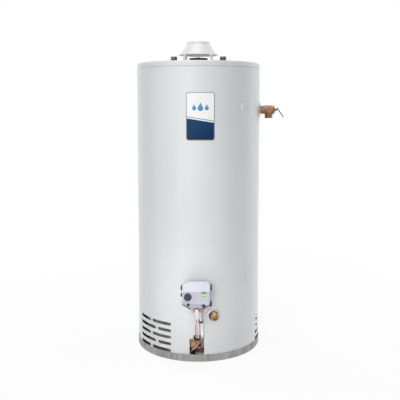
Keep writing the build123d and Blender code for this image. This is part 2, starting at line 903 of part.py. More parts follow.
# Bonnet over the spring
with BuildPart() as relief_bonnet:
    relief_turned(
        (
            (relief_end, stem_radius + running_gap),
            (relief_end, relief_body_radius),
            (relief_end + bonnet_length / 3, relief_body_radius),
            (bonnet_end, bonnet_nose_radius),
            (bonnet_end, stem_radius + running_gap),
        )
    )
    with BuildSketch(Plane.YZ.offset(relief_end)):
        with Locations((0, relief_height)):
            Circle(spring_radius + fit_gap)
    extrude(amount=bonnet_length - bonnet_wall, mode=Mode.SUBTRACT)
finish(relief_bonnet, "relief_bonnet")

# Stem with its disc, and the cross hole for the lever's pin
disc_start = relief_seat_x
spring_start = disc_start + stem_disc + stem_lift + 2 * fit_gap
with BuildPart() as relief_stem:
    relief_turned(
        (
            (disc_start, 0),
            (disc_start, stem_disc_radius),
            (disc_start + stem_disc, stem_disc_radius),
            (disc_start + stem_disc, stem_radius),
            (pin_x + stem_radius, stem_radius),
            (pin_x + stem_radius, 0),
        )
    )
    with BuildSketch(Plane.XZ):
        with Locations((pin_x, relief_height)):
            Circle(pin_radius + running_gap)
    extrude(amount=stem_disc_radius, both=True, mode=Mode.SUBTRACT)
finish(relief_stem, "relief_stem")

# Spring sleeve between the disc and the bonnet
with BuildPart() as relief_spring:
    with BuildSketch(Plane.YZ.offset(spring_start)):
        with Locations((0, relief_height)):
            Circle(spring_radius)
            Circle(spring_radius - spring_wall, mode=Mode.SUBTRACT)
    extrude(amount=bonnet_end - bonnet_wall - spring_start)
finish(relief_spring, "relief_spring")

# Temperature probe that reaches into the tank, carried by a collar in the inlet
with BuildPart() as relief_probe:
    with BuildSketch(Plane.YZ.offset(relief_start + thread_depth - probe_length)):
        with Locations((0, relief_height)):
            Circle(probe_radius)
    extrude(amount=probe_length)
    with BuildSketch(Plane.YZ.offset(relief_start)):
        with Locations((0, relief_height)):
            Circle(relief_inlet_radius - fit_gap)
    extrude(amount=spud_sink)
    with BuildSketch(Plane.YZ.offset(relief_start)):
        with Locations((0, relief_height)):
            with PolarLocations((probe_radius + relief_inlet_radius) / 2, 4):
                Circle(probe_vent)
    extrude(amount=spud_sink, mode=Mode.SUBTRACT)
finish(relief_probe, "relief_probe")

# Lever: a bent strap, forked round the stem where the pin holds it
lever_points = (
    (pin_x, relief_height),
    (pin_x + lever_elbow[0], relief_height + lever_elbow[1]),
    (pin_x + lever_tip[0], relief_height + lever_tip[1]),
)
with BuildPart() as relief_lever:
    with BuildSketch(Plane.XZ):
        with BuildLine():
            Polyline(*lever_points)
        trace(line_width=lever_thick)
        with Locations(lever_points[0]):
            Circle(lever_eye)
        with Locations(lever_points[1]):
            Circle(lever_thick / 2)
        with Locations(lever_points[2]):
            Circle(lever_thick / 2)
    extrude(amount=lever_width / 2, both=True)
    with BuildSketch(Plane.XZ):
        with Locations(lever_points[0]):
            Circle(lever_eye + fit_gap)
    extrude(amount=stem_radius + 2 * fit_gap, both=True, mode=Mode.SUBTRACT)
    with BuildSketch(Plane.XZ):
        with Locations(lever_points[0]):
            Circle(pin_radius + running_gap)
    extrude(amount=lever_width, both=True, mode=Mode.SUBTRACT)
finish(relief_lever, "relief_lever")

with BuildPart() as lever_pin:
    with BuildSketch(Plane.XZ):
        with Locations(lever_points[0]):
            Circle(pin_radius)
    extrude(amount=lever_width / 2 + pin_overhang, both=True)
finish(lever_pin, "lever_pin")

# Trim ring between the relief valve and the jacket
with BuildPart() as relief_ring:
    with BuildSketch(Plane.YZ.offset(jacket_radius - ring_face)):
        with Locations((0, relief_height)):
            Circle(ring_radius)
            Circle(pipe_radius + fit_gap, mode=Mode.SUBTRACT)
    extrude(amount=2 * ring_face)
    with BuildSketch(Plane.XY.offset(relief_height - ring_radius)):
        Circle(jacket_radius + fit_gap)
    extrude(amount=2 * ring_radius, mode=Mode.SUBTRACT)
finish(relief_ring, "relief_ring")

# Gas control: reaches of its layers and heights of its outline
casting_back = jacket_radius + control_standoff
housing_back = casting_back + casting_depth
housing_front = housing_back + housing_depth
control_face = housing_front + cover_depth
cover_top_z = control_height + cover_top
brow_z = control_height + cover_brow
sill_z = control_height - cover_sill
chin_z = control_height - cover_chin
connector_reach = housing_front + fit_gap + connector_depth / 2
knob_x, knob_z = knob_place[0], control_height + knob_place[1]
window_x, window_z = window_place[0], control_height + window_place[1]


def control_front(grow):
    # Front outline of the gas control with cut corners, grown by a margin
    side = cover_half + grow
    top = cover_top_z + grow
    low = chin_z - grow
    right = [
        (side - chin_corner[0], low),
        (side, low + chin_corner[1]),
        (side, top - top_corner[1]),
        (side - top_corner[0], top),
    ]
    return right + [(-x, z) for x, z in reversed(right)]


# Casting with its threaded shank, gas inlet, tube outlets and temperature sensor
casting_mid = (casting_back + housing_back) / 2
outlet_reach = housing_back - outlet_reach_in
casting_foot = control_height - casting_low
boss_foot = casting_foot - boss_drop
inlet_z = control_height - inlet_down
with BuildPart() as control_body:
    with BuildSketch(Plane.XZ.offset(casting_back)):
        with Locations((0, control_height + (casting_high - casting_low) / 2)):
            RectangleRounded(2 * casting_half, casting_low + casting_high, casting_corner)
    extrude(amount=casting_depth)
    with BuildSketch(Plane.XZ.offset(side_spud_end - thread_depth)):
        with Locations((0, control_height)):
            Circle(pipe_radius)
    extrude(amount=casting_back - side_spud_end + thread_depth)
    with BuildSketch(Plane.XZ.offset(side_spud_end - thread_depth - sensor_length)):
        with Locations((0, control_height)):
            Circle(sensor_radius)
    extrude(amount=sensor_length)
    with BuildSketch(Plane.YZ.offset(casting_half)):
        with Locations((-casting_mid, inlet_z)):
            Circle(inlet_boss_radius)
    extrude(amount=inlet_boss_length)
    with BuildSketch(Plane.XY.offset(boss_foot)):
        with Locations((manifold_place, -outlet_reach)):
            Circle(manifold_boss_radius)
        with Locations((pilot_place, -outlet_reach)):
            Circle(pilot_boss_radius)
    extrude(amount=boss_drop)
    with BuildSketch(Plane.YZ.offset(casting_half + inlet_boss_length)):
        with Locations((-casting_mid, inlet_z)):
            Circle(inlet_radius)
    extrude(amount=-inlet_depth, mode=Mode.SUBTRACT)
    with BuildSketch(Plane.XY.offset(boss_foot)):
        with Locations((manifold_place, -outlet_reach)):
            Circle(manifold_radius + fit_gap)
        with Locations((pilot_place, -outlet_reach)):
            Circle(pilot_radius + fit_gap)
    extrude(amount=tube_socket, mode=Mode.SUBTRACT)
    with BuildSketch(Plane.XZ.offset(housing_back)):
        with Locations((knob_x, knob_z)):
            Circle(knob_shaft_radius + running_gap)
    extrude(amount=-casting_depth + cover_wall, mode=Mode.SUBTRACT)
finish(control_body, "control_body")

# Dark rear housing with clips at its sides and posts for the board
with BuildPart() as control_housing:
    with BuildSketch(Plane.XZ.offset(housing_back)):
        Polygon(*control_front(housing_margin), align=None)
    extrude(amount=housing_depth)
    for side, low, high in lug_spans:
        with BuildSketch(Plane.XZ.offset(housing_back + cover_wall)):
            with Locations((side * (cover_half + lug_out / 2 + fit_gap), control_height + (low + high) / 2)):
                RectangleRounded(lug_out, high - low, cover_wall)
        extrude(amount=lug_depth)
    with BuildSketch(Plane.XZ.offset(housing_front)):
        with Locations((0, control_height + (board_high - board_low) / 2)):
            with GridLocations(2 * post_place[0], 2 * post_place[1], 2, 2):
                Circle(post_radius)
    extrude(amount=post_length)
    with BuildSketch(Plane.XZ.offset(housing_back)):
        with Locations((knob_x, knob_z)):
            Circle(knob_shaft_radius + hole_gap)
    extrude(amount=housing_depth + post_length, mode=Mode.SUBTRACT)
finish(control_housing, "control_housing")

# Control board on the posts
with BuildPart() as control_board:
    with BuildSketch(Plane.XZ.offset(housing_front + post_length)):
        with Locations((0, control_height + (board_high - board_low) / 2)):
            Rectangle(2 * board_half, board_high + board_low)
        with Locations((knob_x, knob_z)):
            Circle(knob_shaft_radius + 2 * hole_gap, mode=Mode.SUBTRACT)
    extrude(amount=board_thick)
finish(control_board, "control_board")

# Planes on the cover's sloping brow and chin, with their Z out of the cover
brow_length = hypot(cover_depth, cover_top_z - brow_z)
brow_out = (0, -(cover_top_z - brow_z) / brow_length, cover_depth / brow_length)
chin_length = hypot(chin_setback, sill_z - chin_z)
chin_out = (0, -(sill_z - chin_z) / chin_length, -chin_setback / chin_length)
button_reach = control_face - chin_setback * button_share
button_z = sill_z - (sill_z - chin_z) * button_share
button_plane = Plane(origin=(button_place, -button_reach, button_z), x_dir=(1, 0, 0), z_dir=chin_out)
brow_share = 1 - cover_screw_down / brow_length
brow_screw_planes = []
for side in (-1, 1):
    place = (
        side * cover_screw_place,
        -control_face + cover_depth * brow_share,
        brow_z + (cover_top_z - brow_z) * brow_share,
    )
    brow_screw_planes.append(Plane(origin=place, x_dir=(1, 0, 0), z_dir=brow_out))

# Cover: a shell with a sloping brow and a sloping chin
with BuildPart() as control_cover:
    with BuildSketch(Plane.YZ):
        Polygon(
            (-housing_front, cover_top_z),
            (-control_face, brow_z),
            (-control_face, sill_z),
            (-control_face + chin_setback, chin_z),
            (-housing_front, chin_z),
            align=None,
        )
    extrude(amount=cover_half, both=True)
    with BuildSketch(Plane.XZ.offset(housing_front)):
        Polygon(*control_front(0), align=None)
    extrude(amount=cover_depth, mode=Mode.INTERSECT)
    offset(amount=-cover_wall, openings=control_cover.faces().sort_by(Axis.Y)[-1])
    with BuildSketch(Plane.XZ.offset(control_face)):
        with Locations((knob_x, knob_z)):
            Circle(knob_shaft_radius + hole_gap)
        with Locations((window_x, window_z)):
            Rectangle(window_width, window_height)
    extrude(amount=-2 * cover_wall, mode=Mode.SUBTRACT)
    with BuildSketch(button_plane):
        Circle(button_radius + fit_gap)
    extrude(amount=2 * cover_wall, both=True, mode=Mode.SUBTRACT)
    for plane in brow_screw_planes:
        with BuildSketch(plane):
            Circle(rivet_radius + fit_gap)
        extrude(amount=2 * cover_wall, both=True, mode=Mode.SUBTRACT)
    with BuildSketch(Plane.XY.offset(chin_z)):
        with Locations((connector_place, -connector_reach)):
            Rectangle(connector_width + 2 * fit_gap, connector_depth + 2 * fit_gap)
    extrude(amount=connector_height, mode=Mode.SUBTRACT)
finish(control_cover, "control_cover")

# Screws of the cover
with BuildPart() as cover_screws:
    for plane in brow_screw_planes:
        with BuildSketch(plane):
            Circle(rivet_head)
        extrude(amount=rivet_radius, taper=head_taper)
        with BuildSketch(plane):
            Circle(rivet_radius)
        extrude(amount=-cover_wall)
finish(cover_screws, "cover_screws")

# Status window in the cover
with BuildPart() as status_window:
    with BuildSketch(Plane.XZ.offset(control_face - cover_wall)):
        with Locations((window_x, window_z)):
            Rectangle(window_width - 2 * fit_gap, window_height - 2 * fit_gap)
    extrude(amount=cover_wall)
finish(status_window, "status_window")

# Igniter button in the chin
with BuildPart() as igniter_button:
    with BuildSketch(button_plane.offset(button_proud - button_length)):
        Circle(button_radius)
    extrude(amount=button_length)
    fillet(igniter_button.edges().filter_by(GeomType.CIRCLE).sort_by(Axis.Y)[0], button_edge)
finish(igniter_button, "igniter_button")

# Plug of the burner's leads, in the chin's lower edge
with BuildPart() as lead_connector:
    with BuildSketch(Plane.XY.offset(chin_z - connector_height / 3)):
        with Locations((connector_place, -connector_reach)):
            RectangleRounded(connector_width, connector_depth, connector_corner)
    extrude(amount=connector_height)
finish(lead_connector, "lead_connector")

# Knob and its shaft
knob_back = control_face + knob_gap
with BuildPart() as knob_shaft:
    with BuildSketch(Plane.XZ.offset(knob_back + knob_depth / 2 - knob_shaft_length)):
        with Locations((knob_x, knob_z)):
            Circle(knob_shaft_radius)
    extrude(amount=knob_shaft_length)
finish(knob_shaft, "knob_shaft")

with BuildPart() as gas_knob:
    with BuildSketch(Plane.XZ.offset(knob_back)):
        with Locations((knob_x, knob_z)):
            Circle(knob_radius)
    extrude(amount=knob_depth - knob_grip, taper=knob_taper)
    with BuildSketch(Plane.XZ.offset(knob_back)):
        with Locations((knob_x, knob_z)):
            Rectangle(knob_grip_width, 2 * knob_radius - knob_grip)
    extrude(amount=knob_depth)
    with BuildSketch(Plane.XZ.offset(knob_back)):
        with Locations((knob_x, knob_z)):
            Circle(knob_shaft_radius + running_gap)
    extrude(amount=knob_depth / 2 + fit_gap, mode=Mode.SUBTRACT)
finish(gas_knob, "gas_knob")

# Burner tube: down the front of the jacket, in above the notch and on to the burner
tube_top = boss_foot + tube_socket
tube_reach = jacket_radius + tube_standoff
manifold_low = opening_width / 2 - manifold_radius - tube_margin
orifice_reach = burner_radius + venturi_length + orifice_gap + orifice_length
manifold_points = (
    (manifold_place, -outlet_reach, tube_top),
    (manifold_place, -outlet_reach, boss_foot - 2 * nut_height),
    (manifold_low, -tube_reach, burner_axis + (boss_foot - burner_axis) * manifold_share),
    (manifold_low, -tube_reach, burner_axis),
    (manifold_low, -(orifice_reach + 4 * tube_standoff), burner_axis),
    (0, -(orifice_reach + tube_standoff), burner_axis),
    (0, -orifice_reach, burner_axis),
)
manifold_radii = [30, 30, 20, 30, 18]


def bent_tube(points, radii, outside, bore):
    # Tube along straight runs joined by tangent arcs, whose length it returns
    with BuildLine() as route:
        FilletPolyline(*points, radius=radii)
    with BuildSketch(Plane(origin=route.line @ 0, z_dir=route.line % 0)) as section:
        Circle(outside)
        if bore:
            Circle(bore, mode=Mode.SUBTRACT)
    sweep(section.sketch, path=route.line)
    return sum(edge.length for edge in route.edges())


with BuildPart() as manifold_tube:
    bent_tube(manifold_points, manifold_radii, manifold_radius, manifold_bore)
finish(manifold_tube, "manifold_tube")

# Places of the pilot and the thermopile, each just clear of the burner's side
pilot_x = -bracket_place - bracket_sheet
pilot_y = -sqrt((burner_radius + pilot_head_radius + fit_gap) ** 2 - pilot_x**2)
pile_x = pilot_x - 2 * pilot_head_radius
pile_y = -sqrt((burner_radius + thermopile_radius + fit_gap) ** 2 - pile_x**2)
pilot_foot = burner_axis - pilot_head_height / 2
pile_foot = burner_axis - thermopile_height / 2

# Pilot tube beside it, through the grommet
pilot_low = grommet_place + grommet_width / 4
pilot_entry = burner_axis - pilot_drop
pilot_points = (
    (pilot_place, -outlet_reach, tube_top),
    (pilot_place, -outlet_reach, boss_foot - 2 * nut_height),
    (pilot_low, -tube_reach, pilot_entry + (boss_foot - pilot_entry) * pilot_share),
    (pilot_low, -tube_reach, pilot_entry),
    (pilot_low, -tank_radius, pilot_entry),
    (pilot_x, pilot_y - 4 * tube_standoff, pilot_foot - 2 * tube_standoff),
    (pilot_x, pilot_y, pilot_foot - 2 * tube_standoff),
    (pilot_x, pilot_y, pilot_foot),
)
pilot_radii = [20, 20, pilot_bend, 20, 20, 12]
with BuildPart() as pilot_tube:
    bent_tube(pilot_points, pilot_radii, pilot_radius, pilot_bore)
finish(pilot_tube, "pilot_tube")

# Hexagon nuts of the two tubes
for name, place, flats, radius in (
    ("manifold_nut", manifold_place, manifold_nut_flats, manifold_radius),
    ("pilot_nut", pilot_place, pilot_nut_flats, pilot_radius),
):
    with BuildPart() as nut:
        with BuildSketch(Plane.XY.offset(boss_foot - nut_height)):
            with Locations((place, -outlet_reach)):
                RegularPolygon(flats / 2, 6, major_radius=False)
                Circle(radius + fit_gap, mode=Mode.SUBTRACT)
        extrude(amount=nut_height)
    finish(nut, name)

# Leads from the plug through the grommet and across the notch to the thermopile
lead_z = chin_z - connector_height / 3
lead_step = lead_radius + fit_gap
lead_drop = lead_z - lead_entry
red_points = (
    (connector_place - lead_spread, -connector_reach, lead_z),
    (connector_place - lead_spread, -connector_reach, lead_entry + 0.83 * lead_drop),
    (-0.5, -(jacket_radius + 44), lead_entry + 0.58 * lead_drop),
    (red_place, -(jacket_radius + 16), lead_entry + 0.34 * lead_drop),
    (red_place, -(jacket_radius + 15), lead_entry),
    (red_place, -(jacket_radius - 15), lead_entry),
    (-6, -(jacket_radius - 26), 72),
    (-2, -(jacket_radius - 28), 48),
    (24, -(jacket_radius - 32), 34),
    (12, -(jacket_radius - 54), 24),
    (-24, -(jacket_radius - 94), 25),
    (pile_x + lead_step, pile_y - 24, 34),
    (pile_x + lead_step, pile_y, 46),
    (pile_x + lead_step, pile_y, pile_foot),
)
red_radii = [18, 24, 28, 9, 8, 9, 9, 9, 12, 16, 14, 7]
white_points = (
    (connector_place + lead_spread, -connector_reach, lead_z),
    (connector_place + lead_spread, -connector_reach, lead_entry + 0.82 * lead_drop),
    (4.5, -(jacket_radius + 46), lead_entry + 0.58 * lead_drop),
    (white_place, -(jacket_radius + 17), lead_entry + 0.34 * lead_drop),
    (white_place, -(jacket_radius + 15), lead_entry),
    (white_place, -(jacket_radius - 14), lead_entry),
    (21, -(jacket_radius - 17), 82),
    (-10, -(jacket_radius - 19), 46),
    (-28, -(jacket_radius - 32), 26),
    (-34, -(jacket_radius - 84), 22),
    (pile_x - lead_step, pile_y - 26, 30),
    (pile_x - lead_step, pile_y, 44),
    (pile_x - lead_step, pile_y, pile_foot),
)
white_radii = [18, 24, 28, 9, 8, 6, 14, 14, 20, 16, 7]
for name, points, radii in (("lead_red", red_points, red_radii), ("lead_white", white_points, white_radii)):
    with BuildPart() as lead:
        route_length = bent_tube(points, radii, lead_radius, 0)
    finish(lead, name)
    print(name, "length", round(route_length), "by volume", round(lead.part.volume / (pi * lead_radius**2)))

# Grommet in the panel's bay, with a lip on each side of the panel
grommet_foot = bay_top - grommet_height
lip_width = grommet_width + grommet_lip
lip_height = grommet_height + grommet_lip
grommet_back = panel_radius - 2 * panel_wall - grommet_lip
grommet_front = panel_radius + fit_gap + grommet_lip
with BuildPart() as grommet:
    with BuildSketch(Plane.XZ.offset(grommet_back)):
        with Locations((grommet_place, grommet_foot)):
            Rectangle(grommet_width, grommet_height, align=(Align.CENTER, Align.MIN))
    extrude(amount=grommet_front - grommet_back)
    for reach in (grommet_back, grommet_front - grommet_lip):
        with BuildSketch(Plane.XZ.offset(reach)):
            with Locations((bay_left - grommet_lip, grommet_foot)):
                Rectangle(lip_width, lip_height, align=(Align.MIN, Align.MIN))
        extrude(amount=grommet_lip)
    with BuildSketch(Plane.XZ.offset(grommet_back)):
        with Locations((pilot_low, pilot_entry)):
            Circle(pilot_radius + fit_gap)
        with Locations((red_place, lead_entry), (white_place, lead_entry)):
            Circle(lead_radius + fit_gap)
    extrude(amount=grommet_front - grommet_back, mode=Mode.SUBTRACT)
finish(grommet, "grommet")

# Clip on the sloping run of the burner tube
run_start = Vector(*manifold_points[1])
run_end = Vector(*manifold_points[2])
with BuildPart() as lead_clip:
    with BuildSketch(Plane(origin=run_start + (run_end - run_start) * clip_share, z_dir=run_end - run_start)):
        Circle(manifold_radius + fit_gap + clip_wall)
        Circle(manifold_radius + fit_gap, mode=Mode.SUBTRACT)
    extrude(amount=clip_length / 2, both=True)
finish(lead_clip, "lead_clip")

# Orifice on the tube's end
orifice_end = orifice_reach - orifice_length
with BuildPart() as burner_orifice:
    with BuildSketch(Plane.XZ.offset(orifice_end)):
        with Locations((0, burner_axis)):
            RegularPolygon(orifice_radius, 6, major_radius=False)
    extrude(amount=orifice_length + tube_socket)
    with BuildSketch(Plane.XZ.offset(orifice_reach)):
        with Locations((0, burner_axis)):
            Circle(manifold_radius + fit_gap)
    extrude(amount=tube_socket, mode=Mode.SUBTRACT)
    with BuildSketch(Plane.XZ.offset(orifice_end)):
        with Locations((0, burner_axis)):
            Circle(jet_radius)
    extrude(amount=orifice_length, mode=Mode.SUBTRACT)
finish(burner_orifice, "burner_orifice")

# Burner: a hollow drum with a ring of ports, and its mixing tube at the front
burner_foot = burner_axis - burner_height / 2
drum_inner = burner_radius - burner_wall
with BuildPart() as burner_head:
    with BuildSketch(Plane.XY.offset(burner_foot)):
        Circle(burner_radius)
    extrude(amount=burner_height)
    with BuildSketch(Plane.XZ.offset(drum_inner - burner_wall)):
        with Locations((0, burner_axis)):
            Circle(venturi_radius)
    extrude(amount=venturi_length + 2 * burner_wall)
    with BuildSketch(Plane.XY.offset(burner_foot + burner_wall)):
        Circle(drum_inner)
    extrude(amount=burner_height - 2 * burner_wall, mode=Mode.SUBTRACT)
    with BuildSketch(Plane.XZ.offset(drum_inner - venturi_radius)):
        with Locations((0, burner_axis)):
            Circle(venturi_radius - burner_wall)
    extrude(amount=venturi_length + 2 * venturi_radius, mode=Mode.SUBTRACT)
    with BuildSketch(Plane.XY.offset(burner_foot + burner_height - burner_wall)):
        with PolarLocations(burner_radius - 4 * port_width, burner_ports):
            Rectangle(3 * port_width, port_width)
    extrude(amount=burner_wall, mode=Mode.SUBTRACT)
finish(burner_head, "burner_head")

# Floor shield that stands in the pan, with a front wall, an arch for the leads and a sight ring
shield_radius = tank_inner - shield_margin
shield_top = pan_wall + shield_lift + shield_sheet
with BuildPart() as floor_shield:
    with BuildSketch(Plane.XY.offset(pan_wall)):
        Circle(shield_radius)
    extrude(amount=shield_lift + shield_sheet)
    with BuildSketch(Plane.XY.offset(pan_wall)):
        Circle(shield_radius - shield_sheet)
    extrude(amount=shield_lift, mode=Mode.SUBTRACT)
    with BuildSketch(Plane.XY.offset(shield_top)):
        Circle(shield_radius)
        Circle(shield_radius - shield_sheet, mode=Mode.SUBTRACT)
        with Locations((0, -shield_radius)):
            Rectangle(2 * wall_half, shield_radius, mode=Mode.INTERSECT)
    extrude(amount=wall_top - shield_top)
    with BuildSketch(Plane.XZ.offset(shield_radius - shield_margin)):
        with Locations((arch_place, shield_top)):
            Rectangle(arch_width, arch_height, align=(Align.CENTER, Align.MIN))
    extrude(amount=2 * shield_margin, mode=Mode.SUBTRACT)
    with BuildSketch(Plane.XZ.offset(shield_radius - 2 * shield_sheet)):
        with Locations((sight_place, sight_height)):
            Circle(sight_ring)
    extrude(amount=2 * shield_sheet + sight_thick)
    with BuildSketch(Plane.XZ.offset(shield_radius - shield_margin)):
        with Locations((sight_place, sight_height)):
            Circle(sight_hole)
    extrude(amount=2 * shield_margin, mode=Mode.SUBTRACT)
finish(floor_shield, "floor_shield")

# Burner bracket: a saddle under the drum with a tongue to the front and a flag on top of it
bracket_front = tank_radius - bracket_setback
saddle_line = (
    (-bracket_place - bracket_width / 2, burner_foot - bracket_sheet / 2),
    (-bracket_place, burner_foot - bracket_sheet / 2),
    (-bracket_place, shield_top + bracket_sheet / 2),
    (bracket_place, shield_top + bracket_sheet / 2),
    (bracket_place, burner_foot - bracket_sheet / 2),
    (bracket_place + bracket_width / 2, burner_foot - bracket_sheet / 2),
)
with BuildPart() as burner_bracket:
    with BuildSketch(Plane.XZ):
        with BuildLine():
            Polyline(*saddle_line)
        trace(line_width=bracket_sheet)
    extrude(amount=bracket_depth / 2, both=True)
    with BuildSketch(Plane.XY.offset(shield_top)):
        with Locations((tongue_place, -bracket_front)):
            Rectangle(bracket_width, bracket_front, align=(Align.CENTER, Align.MIN))
    extrude(amount=bracket_sheet)
    with BuildSketch(Plane.XZ.offset(bracket_front - bracket_sheet)):
        with Locations((tongue_place, shield_top)):
            Rectangle(bracket_width, tongue_height, align=(Align.CENTER, Align.MIN))
        with Locations((flag_place, flag_foot)):
            RectangleRounded(flag_width, flag_height, flag_round, align=(Align.CENTER, Align.MIN))
    extrude(amount=bracket_sheet)
finish(burner_bracket, "burner_bracket")

# Pilot and thermopile beside the drum
with BuildPart() as pilot_burner:
    with BuildSketch(Plane.XY.offset(pilot_foot)):
        with Locations((pilot_x, pilot_y)):
            Circle(pilot_head_radius)
    extrude(amount=pilot_head_height)
    with BuildSketch(Plane.XY.offset(pilot_foot + pilot_head_height / 2)):
        with Locations((pilot_x, pilot_y)):
            Circle(pilot_head_radius - bracket_sheet)
    extrude(amount=pilot_head_height / 2, mode=Mode.SUBTRACT)
finish(pilot_burner, "pilot_burner")

with BuildPart() as thermopile:
    with BuildSketch(Plane.XY.offset(pile_foot)):
        with Locations((pile_x, pile_y)):
            Circle(thermopile_radius)
    extrude(amount=thermopile_height)
    fillet(thermopile.edges().sort_by(Axis.Z)[-1], thermopile_radius / 3)
finish(thermopile, "thermopile")

# Drain valve: radii from the heater's axis of its steps, from the outlet inwards
drain_tip = jacket_radius + drain_end
drain_hose_start = drain_tip - drain_hose_length
drain_thread_out = drain_tip - drain_bore_depth
drain_thread_in = drain_thread_out - drain_thread_length
drain_seat = drain_thread_in - drain_chamber
drain_start = side_spud_end - thread_depth
drain_steps = (
    (drain_start, drain_tip, drain_way),
    (drain_seat, drain_tip, drain_stem_radius + running_gap),
    (drain_seat, drain_thread_in, drain_chamber_radius),
    (drain_thread_out, drain_tip, drain_bore),
)
with BuildPart() as drain_body:
    with BuildSketch(radial_plane(drain_azimuth, drain_start, drain_height)):
        Circle(pipe_radius)
    extrude(amount=drain_hose_start - drain_start)
    with BuildSketch(radial_plane(drain_azimuth, drain_hose_start - drain_hex_height, drain_height)):
        RegularPolygon(drain_hex / 2, 6, major_radius=False)
    extrude(amount=drain_hex_height)
    with BuildSketch(radial_plane(drain_azimuth, drain_hose_start, drain_height)):
        Circle(drain_hose_radius)
    extrude(amount=drain_hose_length)
    for inner, outer, radius in drain_steps:
        with BuildSketch(radial_plane(drain_azimuth, inner, drain_height)):
            Circle(radius)
        extrude(amount=outer - inner, mode=Mode.SUBTRACT)
finish(drain_body, "drain_body")

# Rubber washer on the seat
with BuildPart() as drain_washer:
    with BuildSketch(radial_plane(drain_azimuth, drain_seat, drain_height)):
        Circle(washer_radius)
    extrude(amount=washer_thick)
finish(drain_washer, "drain_washer")

# Slotted stem with two flats for the water to pass
stem_start = drain_seat + washer_thick
with BuildPart() as drain_stem:
    with BuildSketch(radial_plane(drain_azimuth, stem_start, drain_height)):
        Circle(drain_stem_radius)
        Rectangle(2 * drain_flat, 2 * drain_stem_radius, mode=Mode.INTERSECT)
    extrude(amount=drain_stem_length)
    with BuildSketch(radial_plane(drain_azimuth, stem_start + drain_stem_length, drain_height)):
        Rectangle(drain_slot, 2 * drain_stem_radius)
    extrude(amount=-drain_slot, mode=Mode.SUBTRACT)
finish(drain_stem, "drain_stem")

# Plastic collar round the drain, curved to the jacket
with BuildPart() as drain_collar:
    with BuildSketch(radial_plane(drain_azimuth, jacket_radius - drain_collar_face, drain_height)):
        Circle(drain_collar_radius)
    extrude(amount=2 * drain_collar_face)
    chamfer(drain_collar.edges().sort_by(Axis.Y)[0], drain_collar_face / 3)
    with BuildSketch(Plane.XY.offset(drain_height - drain_collar_radius)):
        Circle(jacket_radius + fit_gap)
    extrude(amount=2 * drain_collar_radius, mode=Mode.SUBTRACT)
    with BuildSketch(radial_plane(drain_azimuth, jacket_radius - drain_collar_sleeve, drain_height)):
        Circle(drain_collar_hole + drain_collar_wall)
    extrude(amount=drain_collar_sleeve + drain_collar_face / 2)
    with BuildSketch(radial_plane(drain_azimuth, jacket_radius - drain_collar_sleeve, drain_height)):
        Circle(drain_collar_hole)
    extrude(amount=drain_collar_sleeve + 2 * drain_collar_face, mode=Mode.SUBTRACT)
finish(drain_collar, "drain_collar")
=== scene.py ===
import bpy
import bmesh
from math import cos, pi, radians, sin
from mathutils import Matrix, Vector


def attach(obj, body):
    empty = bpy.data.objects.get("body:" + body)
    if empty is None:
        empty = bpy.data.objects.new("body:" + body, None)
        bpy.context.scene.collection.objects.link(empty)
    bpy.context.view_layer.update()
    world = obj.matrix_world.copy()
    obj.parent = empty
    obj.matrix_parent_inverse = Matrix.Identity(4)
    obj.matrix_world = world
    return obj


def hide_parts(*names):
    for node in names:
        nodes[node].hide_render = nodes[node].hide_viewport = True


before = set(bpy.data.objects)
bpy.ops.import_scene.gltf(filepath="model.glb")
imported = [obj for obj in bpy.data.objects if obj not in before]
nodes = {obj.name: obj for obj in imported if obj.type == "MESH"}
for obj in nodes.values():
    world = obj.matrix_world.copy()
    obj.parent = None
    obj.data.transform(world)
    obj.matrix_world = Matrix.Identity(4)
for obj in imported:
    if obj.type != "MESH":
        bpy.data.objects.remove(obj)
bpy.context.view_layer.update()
print("frame loaded:", len(nodes), "nodes")


def tint(red, green, blue):
    # a colour as it is read on a screen, 0 to 255, turned into the linear colour that the shader takes
    parts = [c / 255 for c in (red, green, blue)]
    return tuple(c / 12.92 if c < 0.04045 else ((c + 0.055) / 1.055) ** 2.4 for c in parts) + (1.0,)


class Wire:
    # an output socket; sums on it add Math nodes to its finish
    def __init__(self, finish, socket):
        self.finish = finish
        self.socket = socket

    def sum(self, operation, first, second):
        return self.finish.add("ShaderNodeMath", {"operation": operation}, {0: first, 1: second})

    def __add__(self, other):
        return self.sum("ADD", self, other)

    def __radd__(self, other):
        return self.sum("ADD", other, self)

    def __sub__(self, other):
        return self.sum("SUBTRACT", self, other)

    def __rsub__(self, other):
        return self.sum("SUBTRACT", other, self)

    def __mul__(self, other):
        return self.sum("MULTIPLY", self, other)

    def __rmul__(self, other):
        return self.sum("MULTIPLY", other, self)

    def __truediv__(self, other):
        return self.sum("DIVIDE", self, other)

    def __rtruediv__(self, other):
        return self.sum("DIVIDE", other, self)

    def __pow__(self, other):
        return self.sum("POWER", self, other)

    def __lt__(self, other):
        return self.sum("LESS_THAN", self, other)

    def __gt__(self, other):
        return self.sum("GREATER_THAN", self, other)


